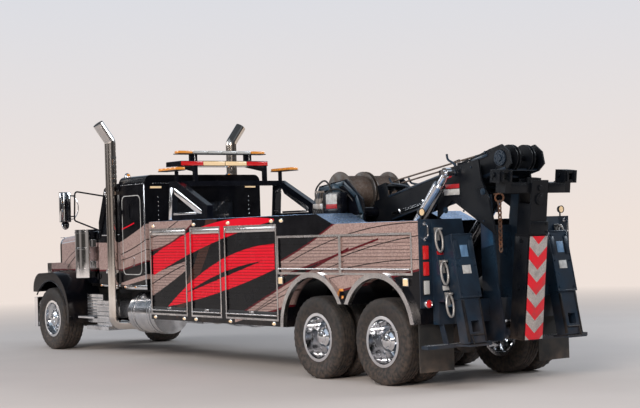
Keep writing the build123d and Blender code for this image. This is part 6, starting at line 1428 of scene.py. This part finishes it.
def makeWorld(name):   # a sky for the camera, a darker room with bright stretches for what is glossy
    look = backdropLook
    world = bpy.data.worlds.new(name)
    bpy.context.scene.world = world
    world.use_nodes = True
    tree = world.node_tree
    tree.nodes.clear()
    direction = addNode(tree, "ShaderNodeTexCoord").outputs["Generated"]
    upward = splitPoint(tree, direction)[2]
    sky = mixColour(tree, ramp(tree, upward, 0.0, look["rise"]), look["low"], look["high"])
    bright = ramp(tree, noise(tree, direction, 1.6, 1.0), 0.42, 0.60, 0.12, 1.0)
    room = calc(tree, "MULTIPLY", bright, ramp(tree, upward, -0.02, 0.30, 0.35, 1.0))
    mirrored = addNode(tree, "ShaderNodeLightPath").outputs["Is Glossy Ray"]
    shown = calc(tree, "MULTIPLY_ADD", mirrored, calc(tree, "SUBTRACT", room, 1.0), 1.0)
    backdrop = addNode(tree, "ShaderNodeBackground", {"Color": sky, "Strength": shown})
    ambient = addNode(tree, "ShaderNodeBackground", {"Color": sky, "Strength": look["ambient"]})
    closeTree(tree, seenDirectly(tree), ambient, backdrop, "ShaderNodeOutputWorld")


def addSoftLight(name, place, target, size, power, colour):
    data = bpy.data.lights.new(name, "AREA")
    data.shape = "RECTANGLE"
    data.size, data.size_y = size
    data.energy = power
    data.color = colour
    lamp = bpy.data.objects.new(name, data)
    bpy.context.scene.collection.objects.link(lamp)
    lamp.location = place
    lamp.rotation_euler = (Vector(target) - Vector(place)).to_track_quat("-Z", "Y").to_euler()


bm = bmesh.new()
bmesh.ops.create_grid(bm, x_segments=4, y_segments=4, size=backdropLook["floorHalf"])
mesh = bpy.data.meshes.new("floor")
bm.to_mesh(mesh)
bm.free()
floor = bpy.data.objects.new("floor", mesh)
bpy.context.scene.collection.objects.link(floor)
mesh.materials.append(makeStageFinish("floorPaint"))
makeWorld("studio")
addSoftLight("keyLight", (-13.0, 16.0, 9.0), (-1.0, 0, 1.0), (10.0, 6.0), 2600, (1.0, 0.90, 0.82))
addSoftLight("fillLight", (12.0, 12.0, 8.0), (1.0, 0, 1.2), (9.0, 6.0), 900, (0.95, 0.97, 1.0))
addSoftLight("rimLight", (-8.0, -14.0, 10.0), (-1.0, 0, 1.2), (10.0, 5.0), 1400, (0.90, 0.95, 1.0))

yaw, pitch, roll = (radians(shot[key]) for key in ("yaw", "pitch", "roll"))
forward = Vector((cos(pitch) * cos(yaw), cos(pitch) * sin(yaw), sin(pitch)))
right = forward.cross(Vector((0, 0, 1))).normalized()
up = right.cross(forward)
right, up = cos(roll) * right + sin(roll) * up, cos(roll) * up - sin(roll) * right
cameraData = bpy.data.cameras.new("camera")
cameraData.sensor_width = shot["sensor"]
cameraData.lens = shot["focal"] * shot["sensor"] / shot["imageWidth"]
cameraData.clip_end = shot["farthest"]
camera = bpy.data.objects.new("camera", cameraData)
bpy.context.scene.collection.objects.link(camera)
facing = Matrix((right, up, -forward)).transposed().to_4x4()
camera.matrix_world = Matrix.Translation(Vector(shot["place"]) + Vector((frontX, 0, 0))) @ facing
bpy.context.scene.camera = camera
bpy.context.scene.view_settings.view_transform = "Standard"
print("stage and camera set")
